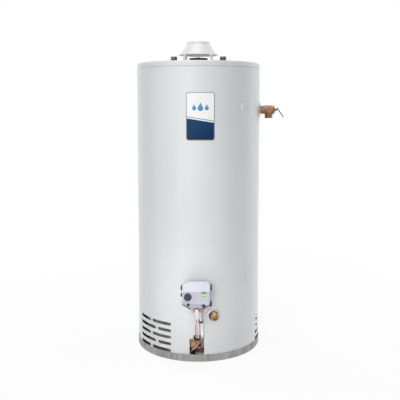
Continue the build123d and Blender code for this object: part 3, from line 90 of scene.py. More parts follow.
class Graph:
    # the node tree of a material or of the world
    def __init__(self, holder):
        holder.use_nodes = True
        self.tree = holder.node_tree

    def add(self, kind, settings=None, sockets=None, out=0):
        node = self.tree.nodes.new(kind)
        for key, value in (settings or {}).items():
            setattr(node, key, value)
        for key, value in (sockets or {}).items():
            self.join(value, node.inputs[key])
        return Wire(self, node.outputs[out])

    def join(self, value, socket):
        if isinstance(value, Wire):
            self.tree.links.new(value.socket, socket)
        else:
            socket.default_value = value

    def between(self, value, low, high, toLow=0.0, toHigh=1.0):
        return self.add("ShaderNodeMapRange", None, {0: value, 1: low, 2: high, 3: toLow, 4: toHigh})

    def most(self, first, second):
        return self.add("ShaderNodeMath", {"operation": "MAXIMUM"}, {0: first, 1: second})

    def size(self, value):
        return self.add("ShaderNodeMath", {"operation": "ABSOLUTE"}, {0: value})

    def seen(self):
        # 1 for rays that the camera, a mirror or glass sends, else 0
        words = ("Is Camera Ray", "Is Glossy Ray", "Is Transmission Ray")
        rays = [self.add("ShaderNodeLightPath", out=word) for word in words]
        return self.most(self.most(rays[0], rays[1]), rays[2])


class Finish(Graph):
    # a material round one Principled shader; numbers that are the same all over go on its own sockets
    def __init__(self, name, **fixed):
        self.material = bpy.data.materials.new(name)
        super().__init__(self.material)
        self.shader = self.tree.nodes["Principled BSDF"]
        for socket, value in fixed.items():
            self.shader.inputs[socket.replace("_", " ")].default_value = value
        self.spot = self.add("ShaderNodeTexCoord", out="Object")

    def feed(self, socket, value):
        self.join(value, self.shader.inputs[socket])

    def stretched(self, scale):
        return self.add("ShaderNodeVectorMath", {"operation": "MULTIPLY"}, {0: self.spot, 1: scale})

    def axis(self, letter):
        return self.add("ShaderNodeSeparateXYZ", None, {0: self.spot}, letter)

    def noise(self, scale, detail, stretch=(1, 1, 1)):
        sockets = {"Vector": self.stretched(stretch), "Scale": scale, "Detail": detail}
        return self.add("ShaderNodeTexNoise", None, sockets)

    def cells(self, scale, out="Distance"):
        return self.add("ShaderNodeTexVoronoi", None, {"Vector": self.spot, "Scale": scale}, out)

    def mix(self, factor, first, second):
        return self.add("ShaderNodeMix", {"data_type": "RGBA"}, {0: factor, 6: first, 7: second}, 2)

    def band(self, value, low, high):
        return (value > low) * (value < high)

    def bump(self, height, strength, depth):
        relief = self.add("ShaderNodeBump", None, {"Strength": strength, "Distance": depth, "Height": height})
        self.feed("Normal", relief)


enamelWork = {
    "coatRough": 0.12, "cloud": 5.0, "cloudStretch": (1, 1, 0.35), "cloudRough": 0.05,
    "peelRough": 0.04, "peelHeight": 0.12, "wave": 4.0, "waveStretch": (1, 1, 0.4),
}


def enamel(name, look):
    # baked enamel on sheet: faint mottling, orange peel and a slow wave, and painted shade in a seam if it
    # has one
    work = enamelWork
    paint = Finish(name, Coat_Weight=look["coat"], Coat_Roughness=work["coatRough"], Specular_IOR_Level=0.5)
    mottle = paint.noise(work["cloud"], detail=4.0, stretch=work["cloudStretch"])
    cloud = paint.between(mottle, low=0.35, high=0.68)
    colour = paint.mix(cloud, look["shade"], look["tone"])
    if "seam" in look:
        # painted shade: the seam band is coloured darker to stand in for the shadow in the groove under the
        # cap
        colour = paint.mix(paint.band(paint.axis("Z"), *look["seam"]), colour, look["dust"])
    paint.feed("Base Color", colour)
    peel = paint.noise(look["peel"], detail=2.0)
    paint.feed("Roughness", look["rough"] + work["cloudRough"] * cloud + work["peelRough"] * peel)
    wave = paint.noise(work["wave"], detail=1.0, stretch=work["waveStretch"])
    paint.bump(peel * work["peelHeight"] + wave * look["wave"], strength=0.35, depth=0.001)
    return paint.material


zincWork = {
    "toneShare": 0.25, "streakShare": 0.75, "toneRough": 0.10, "streakRough": 0.10, "toneHeight": 0.3,
    "streakStretch": (1, 1, 0.12),
}


def spangled(name, look):
    # zinc coat with crystal spangle, streaked where it was drawn and crimped
    work = zincWork
    zinc = Finish(name, Metallic=look["metal"], Specular_IOR_Level=0.4)
    crystal = zinc.cells(look["spangle"], "Color")
    tone = zinc.add("ShaderNodeSeparateColor", None, {0: crystal})
    drawn = zinc.noise(look["streak"], detail=4.0, stretch=work["streakStretch"])
    streak = zinc.between(drawn, low=0.34, high=0.66)
    shade = work["toneShare"] * tone + work["streakShare"] * streak
    zinc.feed("Base Color", zinc.mix(shade, look["dark"], look["light"]))
    zinc.feed("Roughness", look["rough"] + work["toneRough"] * tone + work["streakRough"] * streak)
    zinc.bump(streak + work["toneHeight"] * tone, strength=0.12, depth=0.0004)
    return zinc.material


metalWork = {"patchShare": 0.75, "markShare": 0.25, "patchRough": 0.16, "markRough": 0.08}


def worked(name, look):
    # metal with fine working marks and darker patches of tarnish or heat
    work = metalWork
    metal = Finish(name, Metallic=look["metal"], Specular_IOR_Level=0.5)
    patch = metal.between(metal.noise(look["patch"], detail=5.0), low=0.40, high=0.66)
    mark = metal.noise(look["grain"], detail=3.0, stretch=look["along"])
    shade = work["patchShare"] * patch + work["markShare"] * mark
    metal.feed("Base Color", metal.mix(shade, look["light"], look["dark"]))
    metal.feed("Roughness", look["rough"] + work["patchRough"] * patch + work["markRough"] * mark)
    metal.bump(mark, look["relief"], depth=0.0003)
    return metal.material


resinWork = {"cloud": 26.0, "cloudRough": 0.08, "grainRough": 0.06}


def moulded(name, look):
    # moulded plastic or rubber: spark-eroded grain, slight mottling and rubbed patches
    work = resinWork
    resin = Finish(name, Specular_IOR_Level=look["shine"])
    grain = resin.noise(look["grain"], detail=2.0)
    cloud = resin.between(resin.noise(work["cloud"], detail=4.0), low=0.36, high=0.66)
    resin.feed("Base Color", resin.mix(cloud, look["light"], look["dark"]))
    resin.feed("Roughness", look["rough"] + work["cloudRough"] * cloud + work["grainRough"] * grain)
    resin.bump(grain, look["relief"], depth=0.0003)
    return resin.material


fillWork = {"cellShare": 0.5, "strandShare": 0.5}


def matted(name, look):
    # foam or fibre seen inside: open cells or strands
    mat = Finish(name, Specular_IOR_Level=0.15, Roughness=0.95)
    cell = mat.cells(look["cell"])
    strand = mat.noise(look["strand"], detail=5.0, stretch=look["along"])
    shade = fillWork["cellShare"] * cell + fillWork["strandShare"] * strand
    mat.feed("Base Color", mat.mix(shade, look["dark"], look["light"]))
    mat.bump(cell + strand, strength=0.7, depth=0.002)
    return mat.material


jacketCoat = {
    "tone": tint(228, 231, 231), "shade": tint(223, 226, 227),
    "rough": 0.30, "coat": 0.25, "peel": 700.0, "wave": 0.5,
}
# the cap's seam colour is painted shade for the groove between jacket and cap, not dust
capCoat = {**jacketCoat, "seam": (1.1400, 1.15055), "dust": tint(164, 166, 168)}
hoodCoat = {
    "tone": tint(248, 248, 249), "shade": tint(242, 243, 244),
    "rough": 0.34, "coat": 0.15, "peel": 600.0, "wave": 0.3,
}
jacketEnamel = enamel("jacketEnamel", jacketCoat)
capEnamel = enamel("capEnamel", capCoat)
hoodEnamel = enamel("hoodEnamel", hoodCoat)
zincSkirt = spangled("zincSkirt", {
    "dark": tint(142, 139, 137), "light": tint(187, 184, 182),
    "spangle": 240.0, "streak": 55.0, "metal": 0.35, "rough": 0.42,
})

metals = {
    "pipeSteel": {"light": tint(132, 134, 136), "dark": tint(74, 75, 78), "metal": 0.9, "rough": 0.26,
                  "patch": 50.0, "grain": 300.0, "along": (1, 1, 0.1), "relief": 0.15},
    "sootedFlue": {"light": tint(74, 56, 50), "dark": tint(40, 31, 29), "metal": 0.5, "rough": 0.55,
                   "patch": 40.0, "grain": 200.0, "along": (1, 1, 0.3), "relief": 0.25},
    "tankSteel": {"light": tint(172, 174, 166), "dark": tint(122, 124, 118), "metal": 0.15, "rough": 0.55,
                  "patch": 18.0, "grain": 160.0, "along": (1, 1, 1), "relief": 0.2},
    "valveBrass": {"light": tint(176, 138, 106), "dark": tint(116, 84, 62), "metal": 0.80, "rough": 0.30,
                   "patch": 46.0, "grain": 420.0, "along": (1, 1, 1), "relief": 0.14},
    "drainBrass": {"light": tint(226, 192, 136), "dark": tint(118, 82, 50), "metal": 0.85, "rough": 0.28,
                   "patch": 44.0, "grain": 420.0, "along": (1, 1, 1), "relief": 0.12},
    "nutBrass": {"light": tint(222, 186, 120), "dark": tint(176, 132, 78), "metal": 0.95, "rough": 0.22,
                 "patch": 80.0, "grain": 500.0, "along": (1, 1, 0.2), "relief": 0.1},
    "leverSteel": {"light": tint(72, 62, 65), "dark": tint(42, 36, 39), "metal": 0.8, "rough": 0.32,
                   "patch": 70.0, "grain": 380.0, "along": (0.4, 1, 1), "relief": 0.15},
    "screwZinc": {"light": tint(205, 206, 208), "dark": tint(150, 152, 156), "metal": 0.9, "rough": 0.3,
                  "patch": 90.0, "grain": 500.0, "along": (1, 1, 1), "relief": 0.1},
    "drawnAluminium": {"light": tint(240, 241, 242), "dark": tint(208, 211, 214), "metal": 0.7, "rough": 0.32,
                       "patch": 45.0, "grain": 420.0, "along": (1, 1, 0.12), "relief": 0.12},
    "castAluminium": {"light": tint(168, 170, 174), "dark": tint(128, 130, 136), "metal": 0.75, "rough": 0.48,
                      "patch": 60.0, "grain": 650.0, "along": (1, 1, 1), "relief": 0.5},
    "chamberSteel": {"light": tint(232, 222, 206), "dark": tint(180, 168, 152), "metal": 0.1, "rough": 0.55,
                     "patch": 45.0, "grain": 260.0, "along": (1, 1, 0.5), "relief": 0.3},
    "burnerSteel": {"light": tint(134, 128, 122), "dark": tint(84, 74, 68), "metal": 0.7, "rough": 0.45,
                    "patch": 45.0, "grain": 260.0, "along": (1, 1, 1), "relief": 0.25},
    "anodeMetal": {"light": tint(176, 178, 182), "dark": tint(136, 138, 142), "metal": 0.8, "rough": 0.5,
                   "patch": 40.0, "grain": 240.0, "along": (1, 1, 0.2), "relief": 0.3},
}
steel = {name: worked(name, look) for name, look in metals.items()}

resins = {
    "plugWhite": {"light": tint(232, 234, 234), "dark": tint(224, 226, 227),
                  "rough": 0.42, "shine": 0.5, "grain": 900.0, "relief": 0.12},
    "collarPale": {"light": tint(227, 223, 233), "dark": tint(219, 215, 227),
                   "rough": 0.45, "shine": 0.45, "grain": 900.0, "relief": 0.15},
    "linerPale": {"light": tint(226, 224, 214), "dark": tint(210, 207, 196),
                  "rough": 0.5, "shine": 0.4, "grain": 700.0, "relief": 0.15},
    "blackResin": {"light": tint(36, 37, 41), "dark": tint(25, 26, 29),
                   "rough": 0.4, "shine": 0.5, "grain": 1100.0, "relief": 0.2},
    "knobSlate": {"light": tint(62, 65, 78), "dark": tint(46, 49, 60),
                  "rough": 0.42, "shine": 0.5, "grain": 1100.0, "relief": 0.2},
    "markGrey": {"light": tint(150, 153, 164), "dark": tint(136, 139, 150),
                 "rough": 0.5, "shine": 0.4, "grain": 900.0, "relief": 0.1},
    "blackRubber": {"light": tint(32, 31, 32), "dark": tint(20, 20, 21),
                    "rough": 0.66, "shine": 0.35, "grain": 600.0, "relief": 0.3},
    "leadRed": {"light": tint(228, 146, 158), "dark": tint(212, 122, 136),
                "rough": 0.42, "shine": 0.5, "grain": 500.0, "relief": 0.1},
    "leadWhite": {"light": tint(244, 222, 216), "dark": tint(234, 206, 200),
                  "rough": 0.42, "shine": 0.5, "grain": 500.0, "relief": 0.1},
    "crimpRed": {"light": tint(196, 62, 86), "dark": tint(164, 44, 70),
                 "rough": 0.38, "shine": 0.5, "grain": 500.0, "relief": 0.1},
    "sleeveWhite": {"light": tint(242, 242, 240), "dark": tint(228, 228, 226),
                    "rough": 0.6, "shine": 0.3, "grain": 420.0, "relief": 0.5},
}
plastic = {name: moulded(name, look) for name, look in resins.items()}
foamFill = matted("foamFill", {
    "dark": tint(206, 180, 116), "light": tint(232, 212, 158),
    "cell": 420.0, "strand": 60.0, "along": (1, 1, 1),
})
woolFill = matted("woolFill", {
    "dark": tint(206, 200, 178), "light": tint(236, 232, 216),
    "cell": 260.0, "strand": 90.0, "along": (0.3, 0.3, 2),
})

# the plate's corners and its print, measured round the jacket and up from the plate's foot
plateArt = {
    "azimuth": 3.2, "radius": 0.2546, "low": 0.8675, "high": 1.0505, "half": 0.055,
    "corner": 0.011, "rim": 0.0028, "slant": 0.16, "foot": 0.076, "line": (0.0805, 0.0835), "navyFade": 0.08,
    "drops": ((-0.024, 0.0075), (0.0, 0.0105), (0.024, 0.0075)), "dropHeight": 0.122, "dropPoint": 2.2,
    "rough": 0.46, "speckRough": 0.06,
}


def printedPlate(art):
    # a printed plate: grey rim, pale upper field with three drops, a thin light-blue line and a navy foot
    ink = Finish("printedPlate", Specular_IOR_Level=0.25)
    across = ink.add("ShaderNodeMath", {"operation": "ARCTAN2"}, {0: ink.axis("X"), 1: 0 - ink.axis("Y")})
    u = (across - radians(art["azimuth"])) * art["radius"]
    v = ink.axis("Z") - art["low"]
    tall = art["high"] - art["low"]
    sideOut = ink.most(ink.size(u) - (art["half"] - art["corner"]), 0.0)
    topOut = ink.most(ink.size(v - tall / 2) - (tall / 2 - art["corner"]), 0.0)
    rim = (sideOut ** 2 + topOut ** 2) ** 0.5 > art["corner"] - art["rim"]
    slope = v + art["slant"] * u
    foot = slope < art["foot"]
    line = ink.band(slope, *art["line"])
    rise = v - art["dropHeight"]
    drops = 0
    for place, size in art["drops"]:
        point = ink.between(rise, 0.0, art["dropPoint"] * size, toLow=1.0, toHigh=0.0)
        tail = (ink.size(u - place) < size * point) * (rise > 0.0)
        belly = ((u - place) ** 2 + rise ** 2) ** 0.5 < size
        drops = drops + tail + belly
    speck = ink.noise(scale=900.0, detail=2.0)
    paper = ink.mix(speck, tint(255, 255, 255), tint(251, 252, 253))
    navy = ink.mix(ink.between(v, 0.0, art["navyFade"]), tint(0, 36, 76), tint(0, 58, 98))
    sky = ink.mix(speck, tint(92, 158, 196), tint(84, 150, 190))
    field = ink.mix(foot, paper, navy)
    field = ink.mix(ink.between(line + drops, 0.0, 1.0), field, sky)
    ink.feed("Base Color", ink.mix(rim, field, tint(158, 156, 150)))
    ink.feed("Roughness", art["rough"] + art["speckRough"] * speck)
    ink.bump(speck, strength=0.05, depth=0.0002)
    return ink.material


# turn is the angle between dial marks, and edge sets how wide each is: 0.5 is none, 0 a full ring
coverArt = {
    "knob": (-0.0312, 0.2895), "ring": 0.0178, "tick": 0.0026, "turn": 30.0, "edge": 0.44, "markShare": 0.75,
    "face": -0.3485, "brow": 0.3085, "sill": 0.2612, "rough": 0.36, "cloudRough": 0.07, "grainRough": 0.05,
}


def coverResin(art):
    # pale lavender cover: light brow, greyer face and chin, and a ring of plain dial marks round the knob
    resin = Finish("coverResin", Specular_IOR_Level=0.5)
    grain = resin.noise(scale=1100.0, detail=2.0)
    cloud = resin.between(resin.noise(scale=22.0, detail=4.0), low=0.36, high=0.66)
    knobX, knobZ = art["knob"]
    right = resin.axis("X") - knobX
    up = resin.axis("Z") - knobZ
    away = (right ** 2 + up ** 2) ** 0.5
    turn = resin.add("ShaderNodeMath", {"operation": "ARCTAN2"}, {0: up, 1: right}) / radians(art["turn"])
    swing = resin.add("ShaderNodeMath", {"operation": "PINGPONG"}, {0: turn + 0.5, 1: 0.5})
    ring = resin.band(away, art["ring"] - art["tick"] / 2, art["ring"] + art["tick"] / 2)
    mark = ring * (swing > art["edge"]) * (resin.axis("Y") < art["face"])
    face = resin.mix(cloud, tint(196, 197, 208), tint(189, 190, 202))
    brow = resin.mix(cloud, tint(219, 219, 229), tint(212, 212, 223))
    chin = resin.mix(cloud, tint(190, 185, 206), tint(182, 177, 200))
    base = resin.mix(resin.axis("Z") > art["brow"], face, brow)
    base = resin.mix(resin.axis("Z") < art["sill"], base, chin)
    resin.feed("Base Color", resin.mix(art["markShare"] * mark, base, tint(70, 72, 84)))
    resin.feed("Roughness", art["rough"] + art["cloudRough"] * cloud + art["grainRough"] * grain)
    resin.bump(grain, strength=0.12, depth=0.0003)
    return resin.material


housingArt = {"lug": 0.0534, "sill": 0.2620, "rough": 0.40, "cloudRough": 0.07, "grainRough": 0.05}


def twoTone(art):
    # pale rear housing with black clips at its sides and a black foot
    resin = Finish("housingResin", Specular_IOR_Level=0.45)
    grain = resin.noise(scale=1000.0, detail=2.0)
    cloud = resin.between(resin.noise(scale=24.0, detail=4.0), low=0.36, high=0.66)
    dark = resin.most(resin.size(resin.axis("X")) > art["lug"], resin.axis("Z") < art["sill"])
    pale = resin.mix(cloud, tint(208, 207, 217), tint(198, 197, 208))
    black = resin.mix(cloud, tint(36, 37, 41), tint(25, 26, 29))
    resin.feed("Base Color", resin.mix(dark, pale, black))
    resin.feed("Roughness", art["rough"] + art["cloudRough"] * cloud + art["grainRough"] * grain)
    resin.bump(grain, strength=0.16, depth=0.0003)
    return resin.material


# heights of the soot's upper edge and of the tan's, how far that one fades, and how ragged both are
scorchArt = {"soot": 0.036, "tan": 0.047, "fade": 0.008, "ragged": 0.006, "rough": 0.55, "patchRough": 0.15}


def scorched(art):
    # bracket that stands by the flame: copper red at the top, browned below and sooted at its foot
    heat = Finish("scorchedSteel", Metallic=0.1, Specular_IOR_Level=0.4)
    patch = heat.between(heat.noise(scale=70.0, detail=5.0), low=0.36, high=0.66)
    mark = heat.noise(scale=300.0, detail=3.0, stretch=(1, 1, 0.5))
    high = heat.axis("Z") + art["ragged"] * patch
    top = heat.mix(patch, tint(255, 196, 148), tint(232, 158, 110))
    middle = heat.mix(patch, tint(186, 170, 152), tint(140, 124, 108))
    foot = heat.mix(patch, tint(40, 36, 34), tint(24, 22, 22))
    low = heat.mix(high > art["soot"], foot, middle)
    upper = heat.between(high, art["tan"], art["tan"] + art["fade"])
    heat.feed("Base Color", heat.mix(upper, low, top))
    heat.feed("Roughness", art["rough"] + art["patchRough"] * patch)
    heat.bump(mark, strength=0.4, depth=0.0003)
    return heat.material


screwArt = {"painted": 1.168, "metal": 0.9, "rough": 0.30, "wearRough": 0.12}


def paintedHeads(art):
    # zinc screws in the hood feet, screws painted with the jacket below them
    head = Finish("screwHeads", Specular_IOR_Level=0.5)
    painted = head.axis("Z") < art["painted"]
    wear = head.between(head.noise(scale=420.0, detail=3.0), low=0.40, high=0.66)
    bare = head.mix(wear, tint(205, 206, 208), tint(150, 152, 156))
    paint = head.mix(wear, tint(230, 232, 232), tint(221, 223, 224))
    head.feed("Base Color", head.mix(painted, bare, paint))
    head.feed("Metallic", art["metal"] - art["metal"] * painted)
    head.feed("Roughness", art["rough"] + art["wearRough"] * wear)
    head.bump(wear, strength=0.1, depth=0.0002)
    return head.material


# the window's corner and size, and its bands as parts of that size
windowArt = {
    "left": 0.0200, "low": 0.2898, "wide": 0.0180, "tall": 0.0170, "footTop": 0.22, "headLow": 0.68,
    "barUp": (0.36, 0.52), "barRight": (0.16, 0.62), "rough": 0.22, "speckRough": 0.06,
}


def windowResin(art):
    # clear window over a small green display: dark band above, pale field below
    glass = Finish("windowResin", Specular_IOR_Level=0.5, Coat_Weight=0.8, Coat_Roughness=0.05)
    right = (glass.axis("X") - art["left"]) / art["wide"]
    up = (glass.axis("Z") - art["low"]) / art["tall"]
    speck = glass.noise(scale=1500.0, detail=2.0)
    field = glass.mix(speck, tint(196, 226, 178), tint(222, 238, 208))
    low = glass.mix(up < art["footTop"], field, tint(150, 190, 132))
    banded = glass.mix(up > art["headLow"], low, tint(76, 122, 62))
    bar = glass.band(up, *art["barUp"]) * glass.band(right, *art["barRight"])
    glass.feed("Base Color", glass.mix(bar, banded, tint(126, 176, 104)))
    glass.feed("Roughness", art["rough"] + art["speckRough"] * speck)
    return glass.material


boardArt = {"track": 240.0, "stretch": (4, 1, 0.5), "rough": 0.35, "trackRough": 0.15}


def circuitBoard(art):
    # board with copper traces under green mask
    board = Finish("circuitBoard", Specular_IOR_Level=0.5)
    track = board.between(board.noise(art["track"], detail=1.0, stretch=art["stretch"]), low=0.48, high=0.54)
    board.feed("Base Color", board.mix(track, tint(22, 84, 52), tint(60, 122, 74)))
    board.feed("Roughness", art["rough"] + art["trackRough"] * track)
    board.bump(track, strength=0.2, depth=0.0002)
    return board.material


plateInk = printedPlate(plateArt)
controlCover = coverResin(coverArt)
statusGlass = windowResin(windowArt)
boardMask = circuitBoard(boardArt)
housingResin = twoTone(housingArt)
screwHeads = paintedHeads(screwArt)
scorchedSteel = scorched(scorchArt)
print("finishes made:", len(bpy.data.materials))

nodeFinish = {
    jacketEnamel: ("jacket", "access_panel"),
    capEnamel: ("jacket_top",),
    hoodEnamel: ("draft_hood", "hood_legs", "hood_rivets"),
    zincSkirt: ("base_pan",),
    steel["chamberSteel"]: ("floor_shield",),
    woolFill: ("foam_dam",),
    plastic["plugWhite"]: ("jacket_plugs",),
    plateInk: ("name_plate",),
    steel["tankSteel"]: ("tank_shell", "top_head", "bottom_head", "tank_spuds"),
    steel["sootedFlue"]: ("flue_tube", "flue_baffle"),
    steel["pipeSteel"]: ("cold_nipple", "hot_nipple", "anode_cap"),
    plastic["linerPale"]: ("nipple_liners", "dip_tube"),
    steel["anodeMetal"]: ("anode_rod",),
    foamFill: ("foam_insulation",),
    screwHeads: ("sheet_screws",),
    steel["screwZinc"]: ("cover_screws", "lever_pin", "relief_spring", "knob_shaft"),
    steel["valveBrass"]: ("relief_body", "relief_bonnet", "relief_stem", "relief_probe"),
    steel["drainBrass"]: ("drain_body", "drain_stem"),
    steel["leverSteel"]: ("relief_lever",),
    plastic["collarPale"]: ("relief_ring", "drain_collar"),
    steel["castAluminium"]: ("control_body",),
    housingResin: ("control_housing",),
    plastic["blackResin"]: ("gas_knob", "igniter_button", "lead_connector", "lead_clip"),
    controlCover: ("control_cover",),
    boardMask: ("control_board",),
    statusGlass: ("status_window",),
    steel["nutBrass"]: ("manifold_nut", "pilot_nut", "burner_orifice"),
    steel["drawnAluminium"]: ("manifold_tube", "pilot_tube"),
    plastic["leadRed"]: ("lead_red",),
    plastic["leadWhite"]: ("lead_white",),
    plastic["blackRubber"]: ("grommet", "drain_washer"),
    steel["burnerSteel"]: ("burner_head", "pilot_burner", "thermopile"),
    scorchedSteel: ("burner_bracket",),
}
finishOf = {name: look for look, names in nodeFinish.items() for name in names}
for name, piece in nodes.items():
    piece.data.materials.clear()
    piece.data.materials.append(finishOf[name])
print("nodes dressed:", len(finishOf))


def settle(name, shape, finish, body="heater", stands=(), crease=35):
    # turn a worked mesh into a piece that rides on a body
    mesh = bpy.data.meshes.new(name)
    bmesh.ops.recalc_face_normals(shape, faces=shape.faces)
    shape.to_mesh(mesh)
    shape.free()
    mesh.polygons.foreach_set("use_smooth", [True] * len(mesh.polygons))
    mesh.set_sharp_from_angle(angle=radians(crease))
    mesh.materials.append(finish)
    piece = bpy.data.objects.new(name, mesh)
    bpy.context.scene.collection.objects.link(piece)
    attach(piece, body)
    if stands:
        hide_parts(*stands)
    return piece


def around(radius, angle, height):
    # a point at an angle from the front, going round Z
    return Vector((radius * sin(angle), -radius * cos(angle), height))


def skin(shape, rows, ends=True):
    # quads between each closed row of points and the next, and a face on each end
    count = len(rows[0])
    for first, second in zip(rows, rows[1:]):
        for j in range(count):
            k = (j + 1) % count
            shape.faces.new((first[j], second[j], second[k], first[k]))
    if ends:
        shape.faces.new(rows[0])
        shape.faces.new(rows[-1])
    return shape


def turned(outline, segments, wave=None, where=Matrix()):
    # spin an outline of (radius, height) points about Z; wave adds to the radius by angle
    shape = bmesh.new()
    rings = []
    for i in range(segments):
        angle = 2 * pi * i / segments
        ring = []
        for radius, height in outline:
            out = radius + (wave(angle, radius, height) if wave else 0.0)
            ring.append(shape.verts.new(where @ around(out, angle, height)))
        rings.append(ring)
    return skin(shape, rings + rings[:1], ends=False)


def rounded(shape, edges, width, steps):
    # break edges with a small round
    bmesh.ops.bevel(shape, geom=edges, offset=width, segments=steps, profile=0.5, affect="EDGES",
                    clamp_overlap=True)


def block(shape, where, size):
    # a box of a size, set in place
    made = bmesh.ops.create_cube(shape, size=1.0, matrix=where @ Matrix.Diagonal((*size, 1)))
    return made["verts"]


# crimped pan that the jacket stands in; only its outer wall between two heights is crimped
skirt = {
    "crimps": 60, "depth": 0.0012, "sharp": 8, "perCrimp": 18,
    "wallFrom": 0.2553, "low": 0.0020, "high": 0.0265,
    "outline": [
        (0.006, 0.0), (0.2530, 0.0), (0.2556, 0.0006), (0.2564, 0.0019), (0.2564, 0.0032), (0.2564, 0.0100),
        (0.2564, 0.0180), (0.2564, 0.0258), (0.2564, 0.0270), (0.2563, 0.0283), (0.2558, 0.0289),
        (0.2553, 0.0289), (0.2549, 0.0283), (0.2549, 0.0016), (0.006, 0.0015),
    ],
}


def crimp(angle, radius, height):
    if radius < skirt["wallFrom"] or height > skirt["high"] or height < skirt["low"]:
        return 0.0
    return -skirt["depth"] * (0.5 - 0.5 * cos(skirt["crimps"] * angle)) ** skirt["sharp"]


pan = turned(skirt["outline"], skirt["crimps"] * skirt["perCrimp"], crimp)
settle("crimpedPan", pan, zincSkirt, stands=("base_pan",), crease=50)

# draft hood with a rolled lip, a soft break at the cone and a hemmed collar
hood = {
    "segments": 144,
    "outline": [
        (0.0730, 1.2070), (0.0826, 1.2070), (0.0830, 1.2073), (0.08305, 1.2078), (0.0830, 1.2083),
        (0.0826, 1.2086), (0.0752, 1.2086), (0.0744, 1.2092), (0.0738, 1.2101), (0.0501, 1.2478),
        (0.0496, 1.2488), (0.0495, 1.2500), (0.0495, 1.2582), (0.0498, 1.2588), (0.0498, 1.2594),
        (0.0495, 1.2599), (0.0490, 1.2600), (0.0487, 1.2598), (0.0485, 1.2593), (0.0485, 1.2498),
        (0.0487, 1.2482), (0.0726, 1.2084),
    ],
}
hoodShape = turned(hood["outline"], hood["segments"])
settle("hoodShell", hoodShape, hoodEnamel, stands=("draft_hood",), crease=32)

# form of a thread crest: half widths at its root and top in pitches, and how much of a turn it fades over
threadForm = {"steps": 40, "fade": 0.4, "root": 0.44, "top": 0.06, "sunk": 0.0001}


def ridge(where, radius, depth, pitch, length):
    # helical thread crest standing on a pipe, tapered away at both ends
    shape = bmesh.new()
    steps = threadForm["steps"]
    total = int((length / pitch - 1) * steps)
    fadeSteps = threadForm["fade"] * steps
    low = radius - threadForm["sunk"]
    root = threadForm["root"] * pitch
    top = threadForm["top"] * pitch
    rows = []
    for i in range(total + 1):
        angle = 2 * pi * i / steps
        high = radius + depth * min(1.0, i / fadeSteps, (total - i) / fadeSteps)
        middle = pitch / 2 + pitch * i / steps
        points = ((low, middle - root), (high, middle - top), (high, middle + top), (low, middle + root))
        rows.append([shape.verts.new(where @ around(r, angle, z)) for r, z in points])
    return skin(shape, rows)


# pipe threads on the water nipples and the drain's hose end
nippleThread = {"radius": 0.0128, "depth": 0.00052, "pitch": 0.00181, "length": 0.0186}
nippleSeat = {"aside": 0.1016, "foot": 1.1823}
for side, word in ((-1, "cold"), (1, "hot")):
    nippleAxis = Matrix.Translation((side * nippleSeat["aside"], 0, nippleSeat["foot"]))
    settle(word + "Thread", ridge(nippleAxis, **nippleThread), steel["pipeSteel"])
hoseThread = {"radius": 0.01345, "depth": 0.00055, "pitch": 0.00221, "length": 0.0160}
hoseSeat = {"azimuth": 14.6, "height": 0.184, "away": 0.264}
hoseWay = around(1.0, radians(hoseSeat["azimuth"]), 0.0)
hoseLean = Vector((0, 0, 1)).rotation_difference(hoseWay).to_matrix().to_4x4()
hoseFoot = hoseWay * hoseSeat["away"] + Vector((0, 0, hoseSeat["height"]))
hoseCrest = ridge(Matrix.Translation(hoseFoot) @ hoseLean, **hoseThread)
settle("hoseThread", hoseCrest, steel["drainBrass"])
print("sheet and thread pieces made")

# angles in degrees: faces flatter than flat are joined first, edges sharper than hard are broken
easing = {"weld": 2e-6, "flat": 0.5, "hard": 28, "crease": 45}


def eased(name, node, width, finish, slot, body="heater", steps=2):
    # stand-in for a CAD node with its hard edges broken by a small round
    shape = bmesh.new()
    shape.from_mesh(nodes[node].data)
    bmesh.ops.remove_doubles(shape, verts=shape.verts, dist=easing["weld"])
    bmesh.ops.dissolve_limit(shape, angle_limit=radians(easing["flat"]), verts=shape.verts, edges=shape.edges)
    pairs = [edge for edge in shape.edges if len(edge.link_faces) == 2]
    hard = [edge for edge in pairs if edge.calc_face_angle(0.0) > radians(easing["hard"])]
    rounded(shape, hard, width, steps)
    piece = settle(name, shape, finish, body, (node,), easing["crease"])
    weigh = piece.modifiers.new("evenShade", "WEIGHTED_NORMAL")
    weigh.keep_sharp = True


# castings and mouldings with their edges broken
brokenEdges = {
    "reliefBody": {"node": "relief_body", "width": 0.0009,
                   "finish": steel["valveBrass"], "slot": "brass"},
    "reliefBonnet": {"node": "relief_bonnet", "width": 0.0008,
                     "finish": steel["valveBrass"], "slot": "brass"},
    "reliefLever": {"node": "relief_lever", "width": 0.0007, "body": "relief_lever",
                    "finish": steel["leverSteel"], "slot": "lever_metal"},
    "reliefRing": {"node": "relief_ring", "width": 0.0006,
                   "finish": plastic["collarPale"], "slot": "pale_plastic"},
    "controlCoverShell": {"node": "control_cover", "width": 0.0016, "steps": 3,
                          "finish": controlCover, "slot": "cover_plastic"},
    "controlHousing": {"node": "control_housing", "width": 0.0011,
                       "finish": housingResin, "slot": "black_plastic"},
    "controlCasting": {"node": "control_body", "width": 0.0012,
                       "finish": steel["castAluminium"], "slot": "casting"},
    "drainBody": {"node": "drain_body", "width": 0.0006,
                  "finish": steel["drainBrass"], "slot": "brass"},
    "drainCollar": {"node": "drain_collar", "width": 0.0008,
                    "finish": plastic["collarPale"], "slot": "pale_plastic"},
    "sidePlugs": {"node": "jacket_plugs", "width": 0.0008,
                  "finish": plastic["plugWhite"], "slot": "white_plastic"},
    "burnerNut": {"node": "manifold_nut", "width": 0.0006,
                  "finish": steel["nutBrass"], "slot": "brass"},
    "pilotNut": {"node": "pilot_nut", "width": 0.0005,
                 "finish": steel["nutBrass"], "slot": "brass"},
    "leadPlug": {"node": "lead_connector", "width": 0.0006,
                 "finish": plastic["blackResin"], "slot": "black_plastic"},
}
for name, row in brokenEdges.items():
    eased(name, **row)
print("edges broken:", len(brokenEdges))

